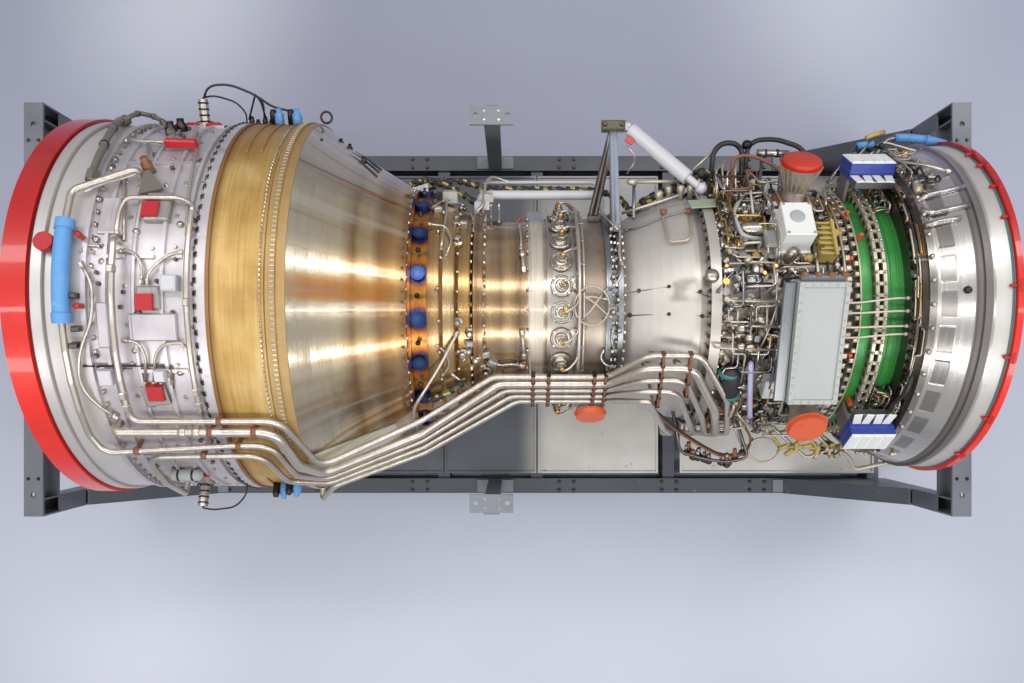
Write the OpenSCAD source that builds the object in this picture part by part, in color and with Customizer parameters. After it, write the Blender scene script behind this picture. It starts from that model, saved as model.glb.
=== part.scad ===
/* [Stand] */
// Room between the exhaust face and the end of the stand
exhaust_room = 505; // [480:5:560]
// Room between the intake face and the end of the stand
intake_room = 272; // [240:2:320]
// Width of the stand over its side rails
stand_w = 2300; // [2240:20:2500]
// Height of the shaft line above the floor
axis_h = 1280; // [1240:10:1400]
// Depth of the shaft line above the top of the side rails
rail_drop = 1020; // [1010:5:1060]
// Depth of a side rail
rail_h = 200; // [170:10:210]
// Width of a side rail's flanges
rail_w = 100; // [80:5:120]
// Thickness of the rail flanges
rail_flange = 14; // [8:1:20]
// Thickness of the rail webs
rail_web = 10; // [6:1:16]
// Width of the end plates along the shaft
end_plate_w = 106; // [90:2:130]
// Thickness of the end plates and side pads
plate_t = 16; // [10:1:25]
// Distance of the end plate holes from the ends
end_hole_inset = 120; // [80:5:160]
// Radius of the lifting holes
lift_hole_r = 15; // [8:1:20]
// Height of the upright part of the corner posts
post_drop = 450; // [380:10:520]
// Length of the sloping haunch along the rail
haunch_l = 600; // [480:20:700]
// Depth of the end beams
end_beam_h = 150; // [100:10:200]
// Depth of the cross members
cross_h = 150; // [120:5:160]
// Width of the cross members
cross_w = 80; // [60:5:110]
// Thickness of the floor trays
tray_t = 8; // [5:1:12]
// Length of the side pad plates
pad_l = 244; // [220:4:280]
// Width of the side pad plates
pad_w = 103; // [90:1:120]
// Distance between the two holes of a side pad
pad_hole_pitch = 178; // [150:2:200]
// Width of the side pad stems
pad_stem_w = 90; // [70:2:110]
// Place of the side pads along the shaft
pad_x = -35; // [-80:5:20]
// Width of the cradle plates along the shaft
cradle_w = 140; // [100:10:170]
// Side of the square levelling feet
foot_w = 200; // [140:10:240]

/* [Exhaust end] */
// Height of the red exhaust ring above the smooth casing
ring_h = 32; // [26:1:40]
// Width of the red exhaust ring
ring_w = 110; // [80:5:120]
// Height of the polished lip above the smooth casing
lip_h = 17; // [10:1:22]
// Width of the polished lip
lip_w = 65; // [50:5:80]
// Radius of the smooth exhaust casing
rear_case_r = 968; // [960:1:972]
// Width of the smooth exhaust casing
rear_case_w = 160; // [140:5:180]
// Thickness of the wall round the exhaust mouth
exhaust_wall = 63; // [50:1:80]
// Radius of the exhaust hub
exhaust_hub_r = 430; // [380:10:480]
// Number of exhaust vanes
exhaust_vanes_n = 26; // [16:1:32]
// Length of the tail cone
tail_cone_l = 250; // [180:10:280]
// Depth of the ribbed drum below the smooth casing
drum_step = 10; // [4:1:16]
// Width of the ribbed drum
drum_w = 540; // [500:10:580]
// Height of the gold band above the smooth casing
gold_h = 6; // [2:1:10]
// Width of the gold band
gold_w = 260; // [240:5:280]
// Height of the gold flange above the gold band
gold_flange_h = 10; // [8:1:14]
// Width of the gold flange
gold_flange_w = 85; // [70:5:95]

/* [Hot section] */
// Depth of the cone's wide end below the smooth casing
cone_step = 38; // [24:1:60]
// Radius of the cone at its narrow end
cone_end_r = 640; // [632:2:650]
// Length of the cone
cone_l = 485; // [460:5:510]
// Radius of the boss ring
boss_ring_r = 616; // [606:2:624]
// Width of the boss ring
boss_ring_w = 90; // [80:2:100]
// Number of bosses round the ring
boss_n = 18; // [12:1:24]
// Radius of one boss
boss_r = 35; // [20:1:36]
// Radius of the turbine casing at its wide end
turbine_r = 600; // [580:5:605]
// Radius of the turbine casing at its narrow end
turbine_end_r = 502; // [495:1:510]
// Length of the turbine casing
turbine_l = 240; // [220:5:260]
// Radius of the turbine flange
turbine_flange_r = 540; // [530:2:552]
// Width of each casing flange
flange_w = 22; // [16:1:30]
// Radius of the waist
waist_r = 480; // [470:2:486]
// Length of the waist
waist_l = 345; // [330:5:360]
// Radius of the band under the fuel nozzles
nozzle_band_r = 492; // [488:1:498]
// Width of the band under the fuel nozzles
nozzle_band_w = 140; // [120:5:160]
// Number of fuel nozzles
nozzle_n = 24; // [16:1:26]
// Radius of a fuel nozzle flange
nozzle_r = 42; // [30:1:46]
// Height of the fuel nozzles above their band
nozzle_h = 74; // [60:2:84]
// Radius of the combustor casing
combustor_r = 490; // [486:1:496]
// Length of the combustor casing
combustor_l = 150; // [130:5:170]
// Radius of the double middle flange
mid_flange_r = 524; // [516:2:540]
// Width of the double middle flange
mid_flange_w = 85; // [75:5:95]

/* [Cold section] */
// Radius of the compressor casing at its narrow end
compressor_r = 450; // [440:5:460]
// Radius of the compressor casing at its wide end
compressor_end_r = 600; // [590:5:610]
// Length of the compressor casing
compressor_l = 400; // [380:5:430]
// Radius of the front compressor flange
front_flange_r = 640; // [630:5:650]
// Width of the front compressor flange
front_flange_w = 50; // [40:5:60]
// Radius of the accessory casing
accessory_r = 596; // [585:1:605]
// Length of the accessory casing
accessory_l = 590; // [580:5:620]
// Radius of the vane casing
vane_case_r = 610; // [600:2:620]
// Length of the vane casing
vane_case_l = 270; // [245:5:275]
// Number of vane levers in a row
lever_n = 76; // [40:1:84]
// Radius of the dark intake flange
intake_flange_r = 750; // [740:5:765]
// Width of the dark intake flange
intake_flange_w = 50; // [40:5:60]
// Radius of the intake casing at its narrow end
intake_r = 790; // [780:5:800]
// Radius of the intake casing at its mouth
intake_mouth_r = 868; // [860:2:874]
// Length of the intake casing
intake_l = 340; // [320:5:370]
// Inner radius of the intake duct
intake_bore_r = 735; // [720:5:745]
// Radius of the intake hub
intake_hub_r = 300; // [260:10:340]
// Number of guide vanes in the intake
guide_vane_n = 30; // [18:1:36]
// Radius of the red intake ring
intake_ring_r = 890; // [882:2:900]
// Width of the red intake ring
intake_ring_w = 28; // [20:2:40]
// Length of the nose cone
nose_l = 270; // [200:10:290]

/* [Fittings] */
// Number of stated holes in each end ring
ring_hole_n = 12; // [8:2:16]
// Radius of the holes in the end rings
ring_hole_r = 7; // [4:0.5:9]
// Outer radius of the large service pipe
big_pipe_r = 24; // [16:1:26]
// Outer radius of the bundled pipes
pipe_r = 15; // [9:1:16]
// Outer radius of the small service tubes
tube_r = 13; // [8:1:16]
// Centre line bend radius of the bundled pipes
pipe_bend = 100; // [60:5:120]
// Outer radius of the blue hose sleeve
sleeve_r = 35; // [26:1:40]
// Length of the control box along the shaft
box_l = 228; // [200:2:250]
// Width of the control box round the casing
box_w = 570; // [480:10:580]
// Depth of the control box
box_h = 90; // [60:5:110]
// Radius of the large blanking caps
cap_r = 88; // [70:2:95]
// Outer radius of the white strut
strut_r = 38; // [34:2:54]

/* [Hidden] */

// Clearance left between seated round faces
gap = 0.3;
// Depth by which joined shapes run into each other
lap = 3;

// Radii of the exhaust end, all led by the smooth casing
ring_r = rear_case_r + ring_h;
lip_r = rear_case_r + lip_h;
exhaust_bore_r = rear_case_r - exhaust_wall;
drum_r = rear_case_r - drum_step;
gold_r = rear_case_r + gold_h;
gold_flange_r = gold_r + gold_flange_h;
cone_r = rear_case_r - cone_step;

// The stand is as long as the machine and the room left at its ends
hot_l = ring_w + lip_w + rear_case_w + drum_w + gold_w + gold_flange_w + cone_l
    + boss_ring_w + turbine_l + waist_l + nozzle_band_w + combustor_l;
cold_l = mid_flange_w + compressor_l + front_flange_w + accessory_l + vane_case_l
    + intake_flange_w + intake_l + intake_ring_w;
stand_l = exhaust_room + hot_l + cold_l + intake_room;

// Stations along the shaft, from the exhaust face to the intake face
x_ring = exhaust_room - stand_l / 2;
x_lip = x_ring + ring_w;
x_rear = x_lip + lip_w;
x_drum = x_rear + rear_case_w;
x_gold = x_drum + drum_w;
x_gold_flange = x_gold + gold_w;
x_cone = x_gold_flange + gold_flange_w;
x_boss = x_cone + cone_l;
x_turbine = x_boss + boss_ring_w;
x_waist = x_turbine + turbine_l;
x_nozzle = x_waist + waist_l;
x_combustor = x_nozzle + nozzle_band_w;
x_mid = x_combustor + combustor_l;
x_compressor = x_mid + mid_flange_w;
x_front_flange = x_compressor + compressor_l;
x_accessory = x_front_flange + front_flange_w;
x_vane = x_accessory + accessory_l;
x_intake_flange = x_vane + vane_case_l;
x_intake = x_intake_flange + intake_flange_w;
x_intake_ring = x_intake + intake_l;
x_face = x_intake_ring + intake_ring_w;

// Heights of the stand above the floor
rail_top = axis_h - rail_drop;
rail_bottom = rail_top - rail_h;
rail_y = stand_w / 2 - rail_w / 2;
rail_inner_y = stand_w / 2 - rail_w;
web_y = rail_y - rail_web / 2;
end_x = stand_l / 2 - end_plate_w / 2;
cross_z = rail_bottom + rail_flange + 11;
tray_z = cross_z + cross_h;
post_top = axis_h - plate_t;

// Length of the vanes in the ducts and thickness of their bands
vane_chord = 70;
band_t = 12;

module at_axis() {
    translate([0, 0, axis_h]) rotate([0, 90, 0]) children();
}

// Solid of revolution about the shaft; points are radius and station
module turned(points) {
    at_axis() rotate_extrude($fn = 96) polygon(points);
}

module drum_band(x, w, r, inner = 0) {
    turned([[inner, x], [r, x], [r, x + w], [inner, x + w]]);
}

// Place on the casing: angle 0 is the top, positive angles lean to the far side
module seat(x, angle, r) {
    translate([x, 0, axis_h]) rotate([-angle, 0, 0]) translate([0, 0, r]) children();
}

function on(x, angle, r) = [x, r * sin(angle), axis_h + r * cos(angle)];

function unit(v) = v / norm(v);

// Straight round bar between two points
module rod(a, b, r) {
    d = b - a;
    translate(a)
        rotate([0, acos(d[2] / norm(d)), atan2(d[1], d[0])])
            cylinder(h = norm(d), r = r, $fn = 24);
}

function turn_at(points, i) =
    acos(min(1, max(-1, unit(points[i] - points[i - 1]) * unit(points[i + 1] - points[i]))));

// Bend radius at a corner, limited by the straight runs beside it
function bend_at(points, i, bend) =
    let (room = 0.48 * min(norm(points[i] - points[i - 1]), norm(points[i + 1] - points[i])))
    min(bend, room / tan(turn_at(points, i) / 2));

function setback(points, i, bend) =
    i <= 0 || i >= len(points) - 1 ? 0 : bend_at(points, i, bend) * tan(turn_at(points, i) / 2);

// Quarter or part of a ring that joins two straight runs at a corner
module elbow(points, i, r, bend) {
    u = unit(points[i] - points[i - 1]);
    v = unit(points[i + 1] - points[i]);
    w = unit(v - (v * u) * u);
    n = cross(u, w);
    bend_r = bend_at(points, i, bend);
    c = points[i] - setback(points, i, bend) * u + bend_r * w;
    multmatrix([
        [-w[0], u[0], n[0], c[0]],
        [-w[1], u[1], n[1], c[1]],
        [-w[2], u[2], n[2], c[2]],
        [0, 0, 0, 1]
    ])
        rotate_extrude(angle = turn_at(points, i), $fn = 48)
            translate([bend_r, 0]) circle(r = min(r * 1.02, bend_r * 0.98), $fn = 24);
}

// Bent pipe through a list of corner points
module pipe(points, r, bend) {
    for (i = [0:len(points) - 2]) {
        d = unit(points[i + 1] - points[i]);
        a = points[i] + max(0, setback(points, i, bend) - lap) * d;
        b = points[i + 1] - max(0, setback(points, i + 1, bend) - lap) * d;
        rod(a, b, r);
    }
    for (i = [1:1:len(points) - 2]) elbow(points, i, r, bend);
}

// Pipe that follows the casing round the shaft between two angles
module hoop(x, r, from, to, pipe_r) {
    translate([x, 0, axis_h])
        rotate([0, 90, 0])
            rotate([0, 0, 180 - to])
                rotate_extrude(angle = to - from, $fn = 96)
                    translate([r, 0]) circle(r = pipe_r, $fn = 48);
}

// Short post that carries a pipe above its casing
module standoff(x, angle, from, to) {
    seat(x, angle, from + gap) cylinder(h = to - from - gap, r = tube_r * 0.6, $fn = 24);
}

// Stand

module side_rail(side) {
    h = rail_h;
    color("dimgray")
        translate([-stand_l / 2, side * rail_y, rail_bottom])
            rotate([90, 0, 90])
                linear_extrude(stand_l)
                    polygon([
                        [-rail_w / 2, 0], [rail_w / 2, 0], [rail_w / 2, rail_flange],
                        [rail_web / 2, rail_flange], [rail_web / 2, h - rail_flange],
                        [rail_w / 2, h - rail_flange], [rail_w / 2, h],
                        [-rail_w / 2, h], [-rail_w / 2, h - rail_flange],
                        [-rail_web / 2, h - rail_flange], [-rail_web / 2, rail_flange],
                        [-rail_w / 2, rail_flange]
                    ]);
    for (x = [-end_x + foot_w / 4, pad_x, end_x - foot_w / 4])
        color("dimgray")
            translate([x - foot_w / 2, side * rail_y - rail_w / 2, 0])
                cube([foot_w, rail_w, rail_bottom + lap]);
}
module side_rail_near() { side_rail(-1); }
module side_rail_far() { side_rail(1); }

// Outline of a post: upright outer edge, sloping haunch down to the rail
function post_outline() = [
    [0, rail_top], [0, post_top], [end_plate_w, post_top],
    [end_plate_w, axis_h - post_drop],
    [end_plate_w + haunch_l, rail_top + plate_t], [end_plate_w + haunch_l, rail_top]
];

module post(end, side) {
    slope = atan2(rail_drop - post_drop - plate_t, haunch_l);
    color("dimgray")
        translate([end * stand_l / 2, side * rail_y, 0])
            mirror([end > 0 ? 1 : 0, 0, 0]) {
                for (s = [-1, 1])
                    translate([0, s * (rail_w / 2 - rail_web / 2) + rail_web / 2, 0])
                        rotate([90, 0, 0])
                            linear_extrude(rail_web) polygon(post_outline());
                translate([0, -rail_w / 2 + lap, rail_top])
                    cube([rail_web, rail_w - 2 * lap, rail_drop - plate_t - end_beam_h]);
                translate([end_plate_w - rail_web, -rail_w / 2 + lap, axis_h - post_drop])
                    cube([rail_web, rail_w - 2 * lap, post_drop - plate_t - end_beam_h]);
                translate([end_plate_w, -rail_w / 2 + lap, axis_h - post_drop - rail_web / cos(slope)])
                    rotate([0, slope, 0])
                        cube([haunch_l / cos(slope) - rail_web, rail_w - 2 * lap, rail_web]);
            }
}
module post_exhaust_near() { post(-1, -1); }
module post_exhaust_far() { post(-1, 1); }
module post_intake_near() { post(1, -1); }
module post_intake_far() { post(1, 1); }

// Plate across the top of two posts, with a beam under it
module end_beam(end) {
    x = end * end_x;
    hole_y = stand_w / 2 - end_hole_inset;
    beam_y = rail_inner_y - gap;
    color("slategray")
        difference() {
            union() {
                translate([x - end_plate_w / 2, -stand_w / 2, post_top])
                    cube([end_plate_w, stand_w, plate_t]);
                translate([x - rail_web / 2, -beam_y, post_top - end_beam_h])
                    cube([rail_web, 2 * beam_y, end_beam_h + lap]);
                translate([x - end_plate_w / 2, -beam_y, post_top - end_beam_h])
                    cube([end_plate_w, 2 * beam_y, rail_flange]);
            }
            for (s = [-1, 1])
                translate([x, s * hole_y, post_top - lap])
                    cylinder(h = plate_t + 2 * lap, r = lift_hole_r, $fn = 32);
        }
}
module end_beam_exhaust() { end_beam(-1); }
module end_beam_intake() { end_beam(1); }

cradle_exhaust_x = x_drum + drum_w - cradle_w;
cradle_intake_x = x_accessory + cradle_w / 2;
cross_places = [
    -stand_l / 2 + cross_w, cradle_exhaust_x, x_boss + 34, x_nozzle - 6, cradle_intake_x,
    stand_l / 2 - cross_w
];

module cross_members() {
    color("slategray")
        for (x = cross_places)
            translate([x, 0, cross_z])
                rotate([90, 0, 0])
                    translate([0, 0, -web_y + gap])
                        linear_extrude(2 * web_y - 2 * gap)
                            difference() {
                                translate([-cross_w / 2, 0]) square([cross_w, cross_h]);
                                translate([-cross_w / 2 + rail_web, rail_web])
                                    square([cross_w - 2 * rail_web, cross_h - 2 * rail_web]);
                            }
}

module tray(x0, x1) {
    y = rail_inner_y - 36;
    lip = 12;
    color("gainsboro")
        difference() {
            translate([x0, -y, tray_z]) cube([x1 - x0, 2 * y, tray_t + lip]);
            translate([x0 + lip, -y + lip, tray_z + tray_t])
                cube([x1 - x0 - 2 * lip, 2 * y - 2 * lip, lip + 1]);
        }
}

module floor_trays() {
    cradle_half = cradle_w / 2 + 5;
    tray(cross_places[1] + cradle_half, cross_places[2] - 5);
    tray(cross_places[2] + 5, cross_places[3] - 5);
    tray(cross_places[3] + 5, cross_places[4] - cradle_half);
    tray(cross_places[4] + cradle_half, cross_places[5]);
}

module side_pad(side) {
    stem_d = rail_w - 20;
    y = side * rail_y;
    pad_y = side * (rail_y - 22);
    color("slategray")
        difference() {
            union() {
                translate([pad_x - pad_l / 2, pad_y - pad_w / 2, axis_h - plate_t])
                    cube([pad_l, pad_w, plate_t]);
                translate([pad_x - pad_stem_w / 2, y - stem_d / 2, rail_top])
                    cube([pad_stem_w, stem_d, rail_drop - plate_t + lap]);
                translate([pad_x - pad_l / 2, y - stem_d / 2, rail_top])
                    cube([pad_l, stem_d, plate_t]);
            }
            for (s = [-1, 1])
                translate([pad_x + s * pad_hole_pitch / 2, pad_y, axis_h - plate_t - lap])
                    cylinder(h = plate_t + 2 * lap, r = lift_hole_r, $fn = 32);
        }
}
module side_pad_near() { side_pad(-1); }
module side_pad_far() { side_pad(1); }

// Saddle of two plates and a curved seat under a casing
module cradle(x, r, half_w) {
    foot_z = tray_z;
    wall = 20;
    top_z = axis_h - r * 0.66;
    color("slategray")
        difference() {
            union() {
                for (s = [-1, 1])
                    translate([x + s * (cradle_w / 2 - wall / 2) - wall / 2, -half_w, foot_z])
                        cube([wall, 2 * half_w, top_z - foot_z]);
                for (y = [-half_w, -half_w / 3, half_w / 3 - wall, half_w - wall])
                    translate([x - cradle_w / 2 + lap, y, foot_z])
                        cube([cradle_w - 2 * lap, wall, top_z - foot_z]);
                translate([x - cradle_w / 2, -half_w, foot_z])
                    cube([cradle_w, 2 * half_w, wall]);
            }
            translate([x - cradle_w, 0, axis_h])
                rotate([0, 90, 0]) cylinder(h = 2 * cradle_w, r = r + gap, $fn = 240);
        }
}
module exhaust_cradle() { cradle(cradle_exhaust_x, rib_r, rib_r * 0.72); }
module intake_cradle() { cradle(cradle_intake_x, accessory_r, accessory_r * 0.77); }

// Exhaust end

module ring_holes(x, w, pitch_r) {
    for (i = [0:ring_hole_n - 1])
        seat(x, i * 360 / ring_hole_n, pitch_r)
            rotate([0, 90, 0])
                translate([0, 0, -lap]) cylinder(h = w + 2 * lap, r = ring_hole_r, $fn = 24);
}

exhaust_pitch_r = (ring_r + exhaust_bore_r) / 2;
module exhaust_ring() {
    color("red")
        difference() {
            drum_band(x_ring, ring_w, ring_r, exhaust_bore_r);
            ring_holes(x_ring, ring_w, exhaust_pitch_r);
        }
}

module exhaust_casing() {
    groove = 8;
    color("silver")
        turned([
            [exhaust_bore_r, x_lip], [lip_r - groove, x_lip], [lip_r - groove, x_lip + groove],
            [lip_r, x_lip + groove], [lip_r, x_rear - groove],
            [rear_case_r, x_rear], [rear_case_r, x_drum], [exhaust_bore_r, x_drum]
        ]);
}

// Aerofoil outline with a round nose, by formula, chord along x
function foil(chord, thick, bow) = [
    for (i = [0:7]) let (t = i / 7)
        [t * chord, bow * sin(180 * t) + thick * sqrt(t) * (1 - t) * 1.6],
    for (i = [6:-1:1]) let (t = i / 7)
        [t * chord, bow * sin(180 * t) - thick * sqrt(t) * (1 - t) * 1.6]
];

// Ring of aerofoil vanes between a hub band and an outer band
module vane_row(x, n, hub, tip, chord, bow, lean) {
    turned([[hub - band_t, x], [hub, x], [hub, x + chord], [hub - band_t, x + chord]]);
    turned([[tip - band_t, x], [tip, x], [tip, x + chord], [tip - band_t, x + chord]]);
    for (i = [0:n - 1])
        seat(x, i * 360 / n, hub - band_t / 2)
            rotate([0, 0, lean])
                linear_extrude(tip - hub) polygon(foil(chord * 0.92, 9, bow));
}

module exhaust_vanes() {
    color("lightslategray")
        vane_row(x_drum - vane_chord - gap, exhaust_vanes_n, exhaust_hub_r,
            exhaust_bore_r - gap, vane_chord, 10, 0);
}

module tail_cone() {
    x0 = x_drum;
    tip_r = 150;
    color("lightslategray")
        turned([
            [0, x0], [exhaust_hub_r - band_t - gap, x0],
            [exhaust_hub_r - band_t - gap, x0 - vane_chord - gap],
            for (t = [0:0.125:1])
                [tip_r + (exhaust_hub_r - tip_r) * cos(90 * t),
                    x0 - vane_chord - gap - (tail_cone_l - vane_chord) * sin(90 * t)],
            [0, x0 - tail_cone_l - gap]
        ]);
}

rib_h = 14;
rib_r = drum_r + rib_h;
rib_w = 16;
rib_places = [90, 215, 340, 440];
module drum_casing() {
    color("gainsboro") {
        drum_band(x_drum, drum_w, drum_r);
        drum_band(x_drum, flange_w, rib_r + 6);
        drum_band(x_gold - 2 * flange_w, 2 * flange_w, rib_r + 8);
        for (p = rib_places) drum_band(x_drum + p, rib_w, rib_r);
    }
    color("gainsboro")
        for (a = [8:30:338], p = [0:2])
            seat(x_drum + rib_places[p] + rib_w, a, drum_r - lap)
                translate([-lap, -rib_w / 2, 0]) cube([84, rib_w, rib_h + lap]);
}

module gold_band() {
    groove = 8;
    color("goldenrod")
        turned([
            [0, x_gold], [gold_r + groove, x_gold], [gold_r + groove, x_gold + 2 * groove],
            [gold_r, x_gold + 2 * groove], [gold_r, x_gold_flange - groove],
            [gold_flange_r, x_gold_flange], [gold_flange_r, x_cone - gold_flange_w / 2],
            [gold_flange_r - groove, x_cone - gold_flange_w / 2],
            [gold_flange_r - groove, x_cone], [0, x_cone]
        ]);
}

// Hot section

function cone_radius(t) = cone_end_r + (cone_r - cone_end_r) * (1 - t) * (1 + 0.22 * (1 - t) * (0.6 - t));

module hot_cone() {
    step = 1 / 6;
    color("tan") {
        turned([
            [0, x_cone],
            for (t = [0:step:1.001]) [cone_radius(min(1, t)), x_cone + t * cone_l],
            [0, x_boss]
        ]);
        drum_band(x_cone, 14, cone_r + 16);
    }
}

module boss_ring() {
    color("steelblue") {
        drum_band(x_boss, boss_ring_w, boss_ring_r);
        drum_band(x_boss, 14, cone_end_r + 6);
        for (i = [0:boss_n - 1])
            seat(x_boss + boss_ring_w * 0.56, (i + 0.5) * 360 / boss_n, boss_ring_r - lap * 2)
                cylinder(h = 30, r = boss_r, $fn = 24);
    }
}

module turbine_casing() {
    steps = 3;
    step_l = (turbine_l - flange_w) / steps;
    drop = (turbine_r - turbine_end_r) / steps;
    color("tan") {
        turned([
            [0, x_turbine],
            for (i = [0:steps - 1], k = [0, 1, 2])
                k == 0 ? [turbine_r - i * drop, x_turbine + i * step_l]
                : k == 1 ? [turbine_r - i * drop - drop * 0.4, x_turbine + (i + 0.72) * step_l]
                : [turbine_r - i * drop, x_turbine + (i + 0.8) * step_l],
            [turbine_end_r, x_waist - flange_w], [turbine_flange_r, x_waist - flange_w],
            [turbine_flange_r, x_waist], [0, x_waist]
        ]);
    }
}

module waist_casing() {
    color("burlywood") {
        drum_band(x_waist, waist_l, waist_r);
        drum_band(x_waist, flange_w, turbine_flange_r - 6);
        drum_band(x_waist + waist_l * 0.56, 12, waist_r + 14);
        drum_band(x_nozzle - 80, 80, waist_r + 6);
    }
}

module fuel_nozzles() {
    mid_x = x_nozzle + nozzle_band_w / 2;
    color("silver") {
        drum_band(x_nozzle, nozzle_band_w, nozzle_band_r);
        for (i = [0:nozzle_n - 1])
            seat(mid_x, (i + 0.5) * 360 / nozzle_n, nozzle_band_r - 2 * lap) {
                cylinder(h = 18, r = nozzle_r, $fn = 24);
                cylinder(h = nozzle_h * 0.72, r = nozzle_r * 0.55, $fn = 24);
                cylinder(h = nozzle_h, r = nozzle_r * 0.34, $fn = 6);
            }
    }
}

module combustor_casing() {
    color("rosybrown") drum_band(x_combustor, combustor_l, combustor_r);
}

module middle_flange() {
    lip = 26;
    r = mid_flange_r;
    core = combustor_r;
    x0 = x_mid;
    x1 = x_compressor;
    color("silver")
        turned([
            [0, x0], [r, x0], [r, x0 + lip], [core, x0 + lip],
            [core, x1 - lip], [r - 6, x1 - lip], [r - 6, x1], [0, x1]
        ]);
}

// Cold section

module compressor_casing() {
    mid_r = (compressor_r + compressor_end_r) / 2;
    x0 = x_compressor;
    x1 = x_front_flange;
    color("gainsboro")
        turned([
            [0, x0], [compressor_r, x0],
            for (t = [0:0.125:1])
                [compressor_r + (compressor_end_r - compressor_r) * sin(90 * t), x0 + t * (compressor_l - 30)],
            [compressor_end_r, x1 - 30], [compressor_end_r, x1],
            [front_flange_r, x1], [front_flange_r, x1 + front_flange_w], [0, x1 + front_flange_w]
        ]);
}

module accessory_casing() {
    color("darkgray") {
        drum_band(x_accessory, accessory_l, accessory_r);
        for (t = [0.32, 0.9])
            drum_band(x_accessory + t * accessory_l, rib_w, accessory_r + 22);
    }
}

green_band_r = vane_case_r + 40;
narrow_band_r = vane_case_r + 26;
narrow_band_x = x_vane + 72;
module vane_casing() {
    wide_w = 88;
    narrow_w = 52;
    color("forestgreen") {
        drum_band(x_vane, vane_case_l, vane_case_r);
        drum_band(narrow_band_x, narrow_w, narrow_band_r);
        drum_band(x_intake_flange - wide_w, wide_w, green_band_r);
    }
}

unison_r = vane_case_r + 62;
module unison_rings() {
    r = unison_r;
    w = 16;
    x0 = x_vane + 127;
    x1 = x0 + 38;
    color("antiquewhite") {
        for (x = [x0, x1])
            drum_band(x, w, r, r - 14);
        for (i = [0:lever_n - 1])
            seat(x0 + w / 2, i * 360 / lever_n, vane_case_r + gap) {
                cylinder(h = r - vane_case_r - 2, r = 7, $fn = 8);
                translate([0, -8, r - vane_case_r - 13]) cube([x1 - x0, 16, 11]);
            }
    }
}

module intake_flange() {
    lip = 14;
    r = intake_flange_r;
    x0 = x_intake_flange;
    color("dimgray")
        turned([
            [0, x0], [r - 30, x0], [r - 30, x0 + lip], [r, x0 + lip],
            [r, x0 + 2 * lip], [r - 20, x0 + 2 * lip], [r - 20, x_intake - lip],
            [r, x_intake - lip], [r, x_intake], [0, x_intake]
        ]);
}

module intake_casing() {
    lip = 20;
    mouth_bore_r = intake_bore_r + 62;
    x0 = x_intake;
    x1 = x_intake_ring;
    color("silver") {
        turned([
            [intake_bore_r, x0], [intake_r, x0], [intake_r, x0 + lip * 2],
            for (t = [0:0.125:1])
                [intake_r + (intake_mouth_r - intake_r) * sin(90 * t), x0 + lip * 2 + t * (intake_l - lip * 2)],
            [intake_mouth_r, x1], [mouth_bore_r, x1],
            for (t = [0:0.125:1])
                [intake_bore_r + (mouth_bore_r - intake_bore_r) * cos(90 * t), x1 - 130 * sin(90 * t)]
        ]);
        drum_band(x0 + intake_l * 0.62, 26, intake_mouth_r - 2, intake_r - 10);
    }
}

module intake_vanes() {
    color("lightslategray")
        vane_row(x_intake + gap, guide_vane_n, intake_hub_r, intake_bore_r - gap, vane_chord, 6, 0);
}

module nose_cone() {
    hub = intake_hub_r - band_t - gap;
    x0 = x_intake + vane_chord + gap;
    color("lightslategray")
        turned([
            [0, x_intake], [hub, x_intake], [hub, x0],
            for (t = [0:0.125:1])
                [intake_hub_r * cos(90 * t), x0 + (nose_l - vane_chord) * sin(90 * t)]
        ]);
}

intake_pitch_r = (intake_ring_r + intake_bore_r + 62) / 2 + 6;
module intake_ring() {
    inner = intake_bore_r + 62;
    color("crimson")
        difference() {
            drum_band(x_intake_ring, intake_ring_w, intake_ring_r, inner);
            ring_holes(x_intake_ring, intake_ring_w, intake_pitch_r);
        }
}

// Fittings on the casings

module gearbox() {
    w = 620;
    h = 210;
    l = accessory_l * 0.45;
    x0 = x_accessory + accessory_l * 0.4;
    port_l = x_vane - x0 - l - 10;
    port_y = w / 3;
    top = axis_h - accessory_r;
    seat_h = 70;
    color("darkgray")
        difference() {
            union() {
                translate([x0, -w / 2, top - h]) cube([l, w, h + seat_h]);
                for (y = [-port_y, 0, port_y])
                    translate([x0 - 60, y, top - h / 2])
                        rotate([0, 90, 0]) cylinder(h = 60 + lap, r = 72, $fn = 32);
                for (y = [-w / 4, w / 4])
                    translate([x0 + l - lap, y, top - h / 2])
                        rotate([0, 90, 0]) cylinder(h = port_l + lap, r = 84, $fn = 32);
            }
            translate([x0 - lap, 0, axis_h])
                rotate([0, 90, 0]) cylinder(h = l + 2 * lap, r = accessory_r + gap, $fn = 96);
        }
}

box_x = x_accessory + 284;
box_angle = -16.8;
module control_box() {
    lip = 20;
    r = accessory_r + 150;
    leg = 34;
    leg_angle = 14;
    color("whitesmoke") {
        seat(box_x, box_angle, r)
            difference() {
                translate([0, -box_w / 2, 0]) cube([box_l, box_w, box_h]);
                translate([lip, -box_w / 2 + lip, box_h - 8]) cube([box_l - 2 * lip, box_w - 2 * lip, 9]);
            }
        for (x = [40, box_l - 40 - leg], s = [-1, 1])
            seat(box_x + x, box_angle + s * leg_angle, accessory_r + gap)
                translate([0, -leg / 2, 0]) cube([leg, leg, r / cos(leg_angle) - accessory_r + 14]);
    }
}

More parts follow.
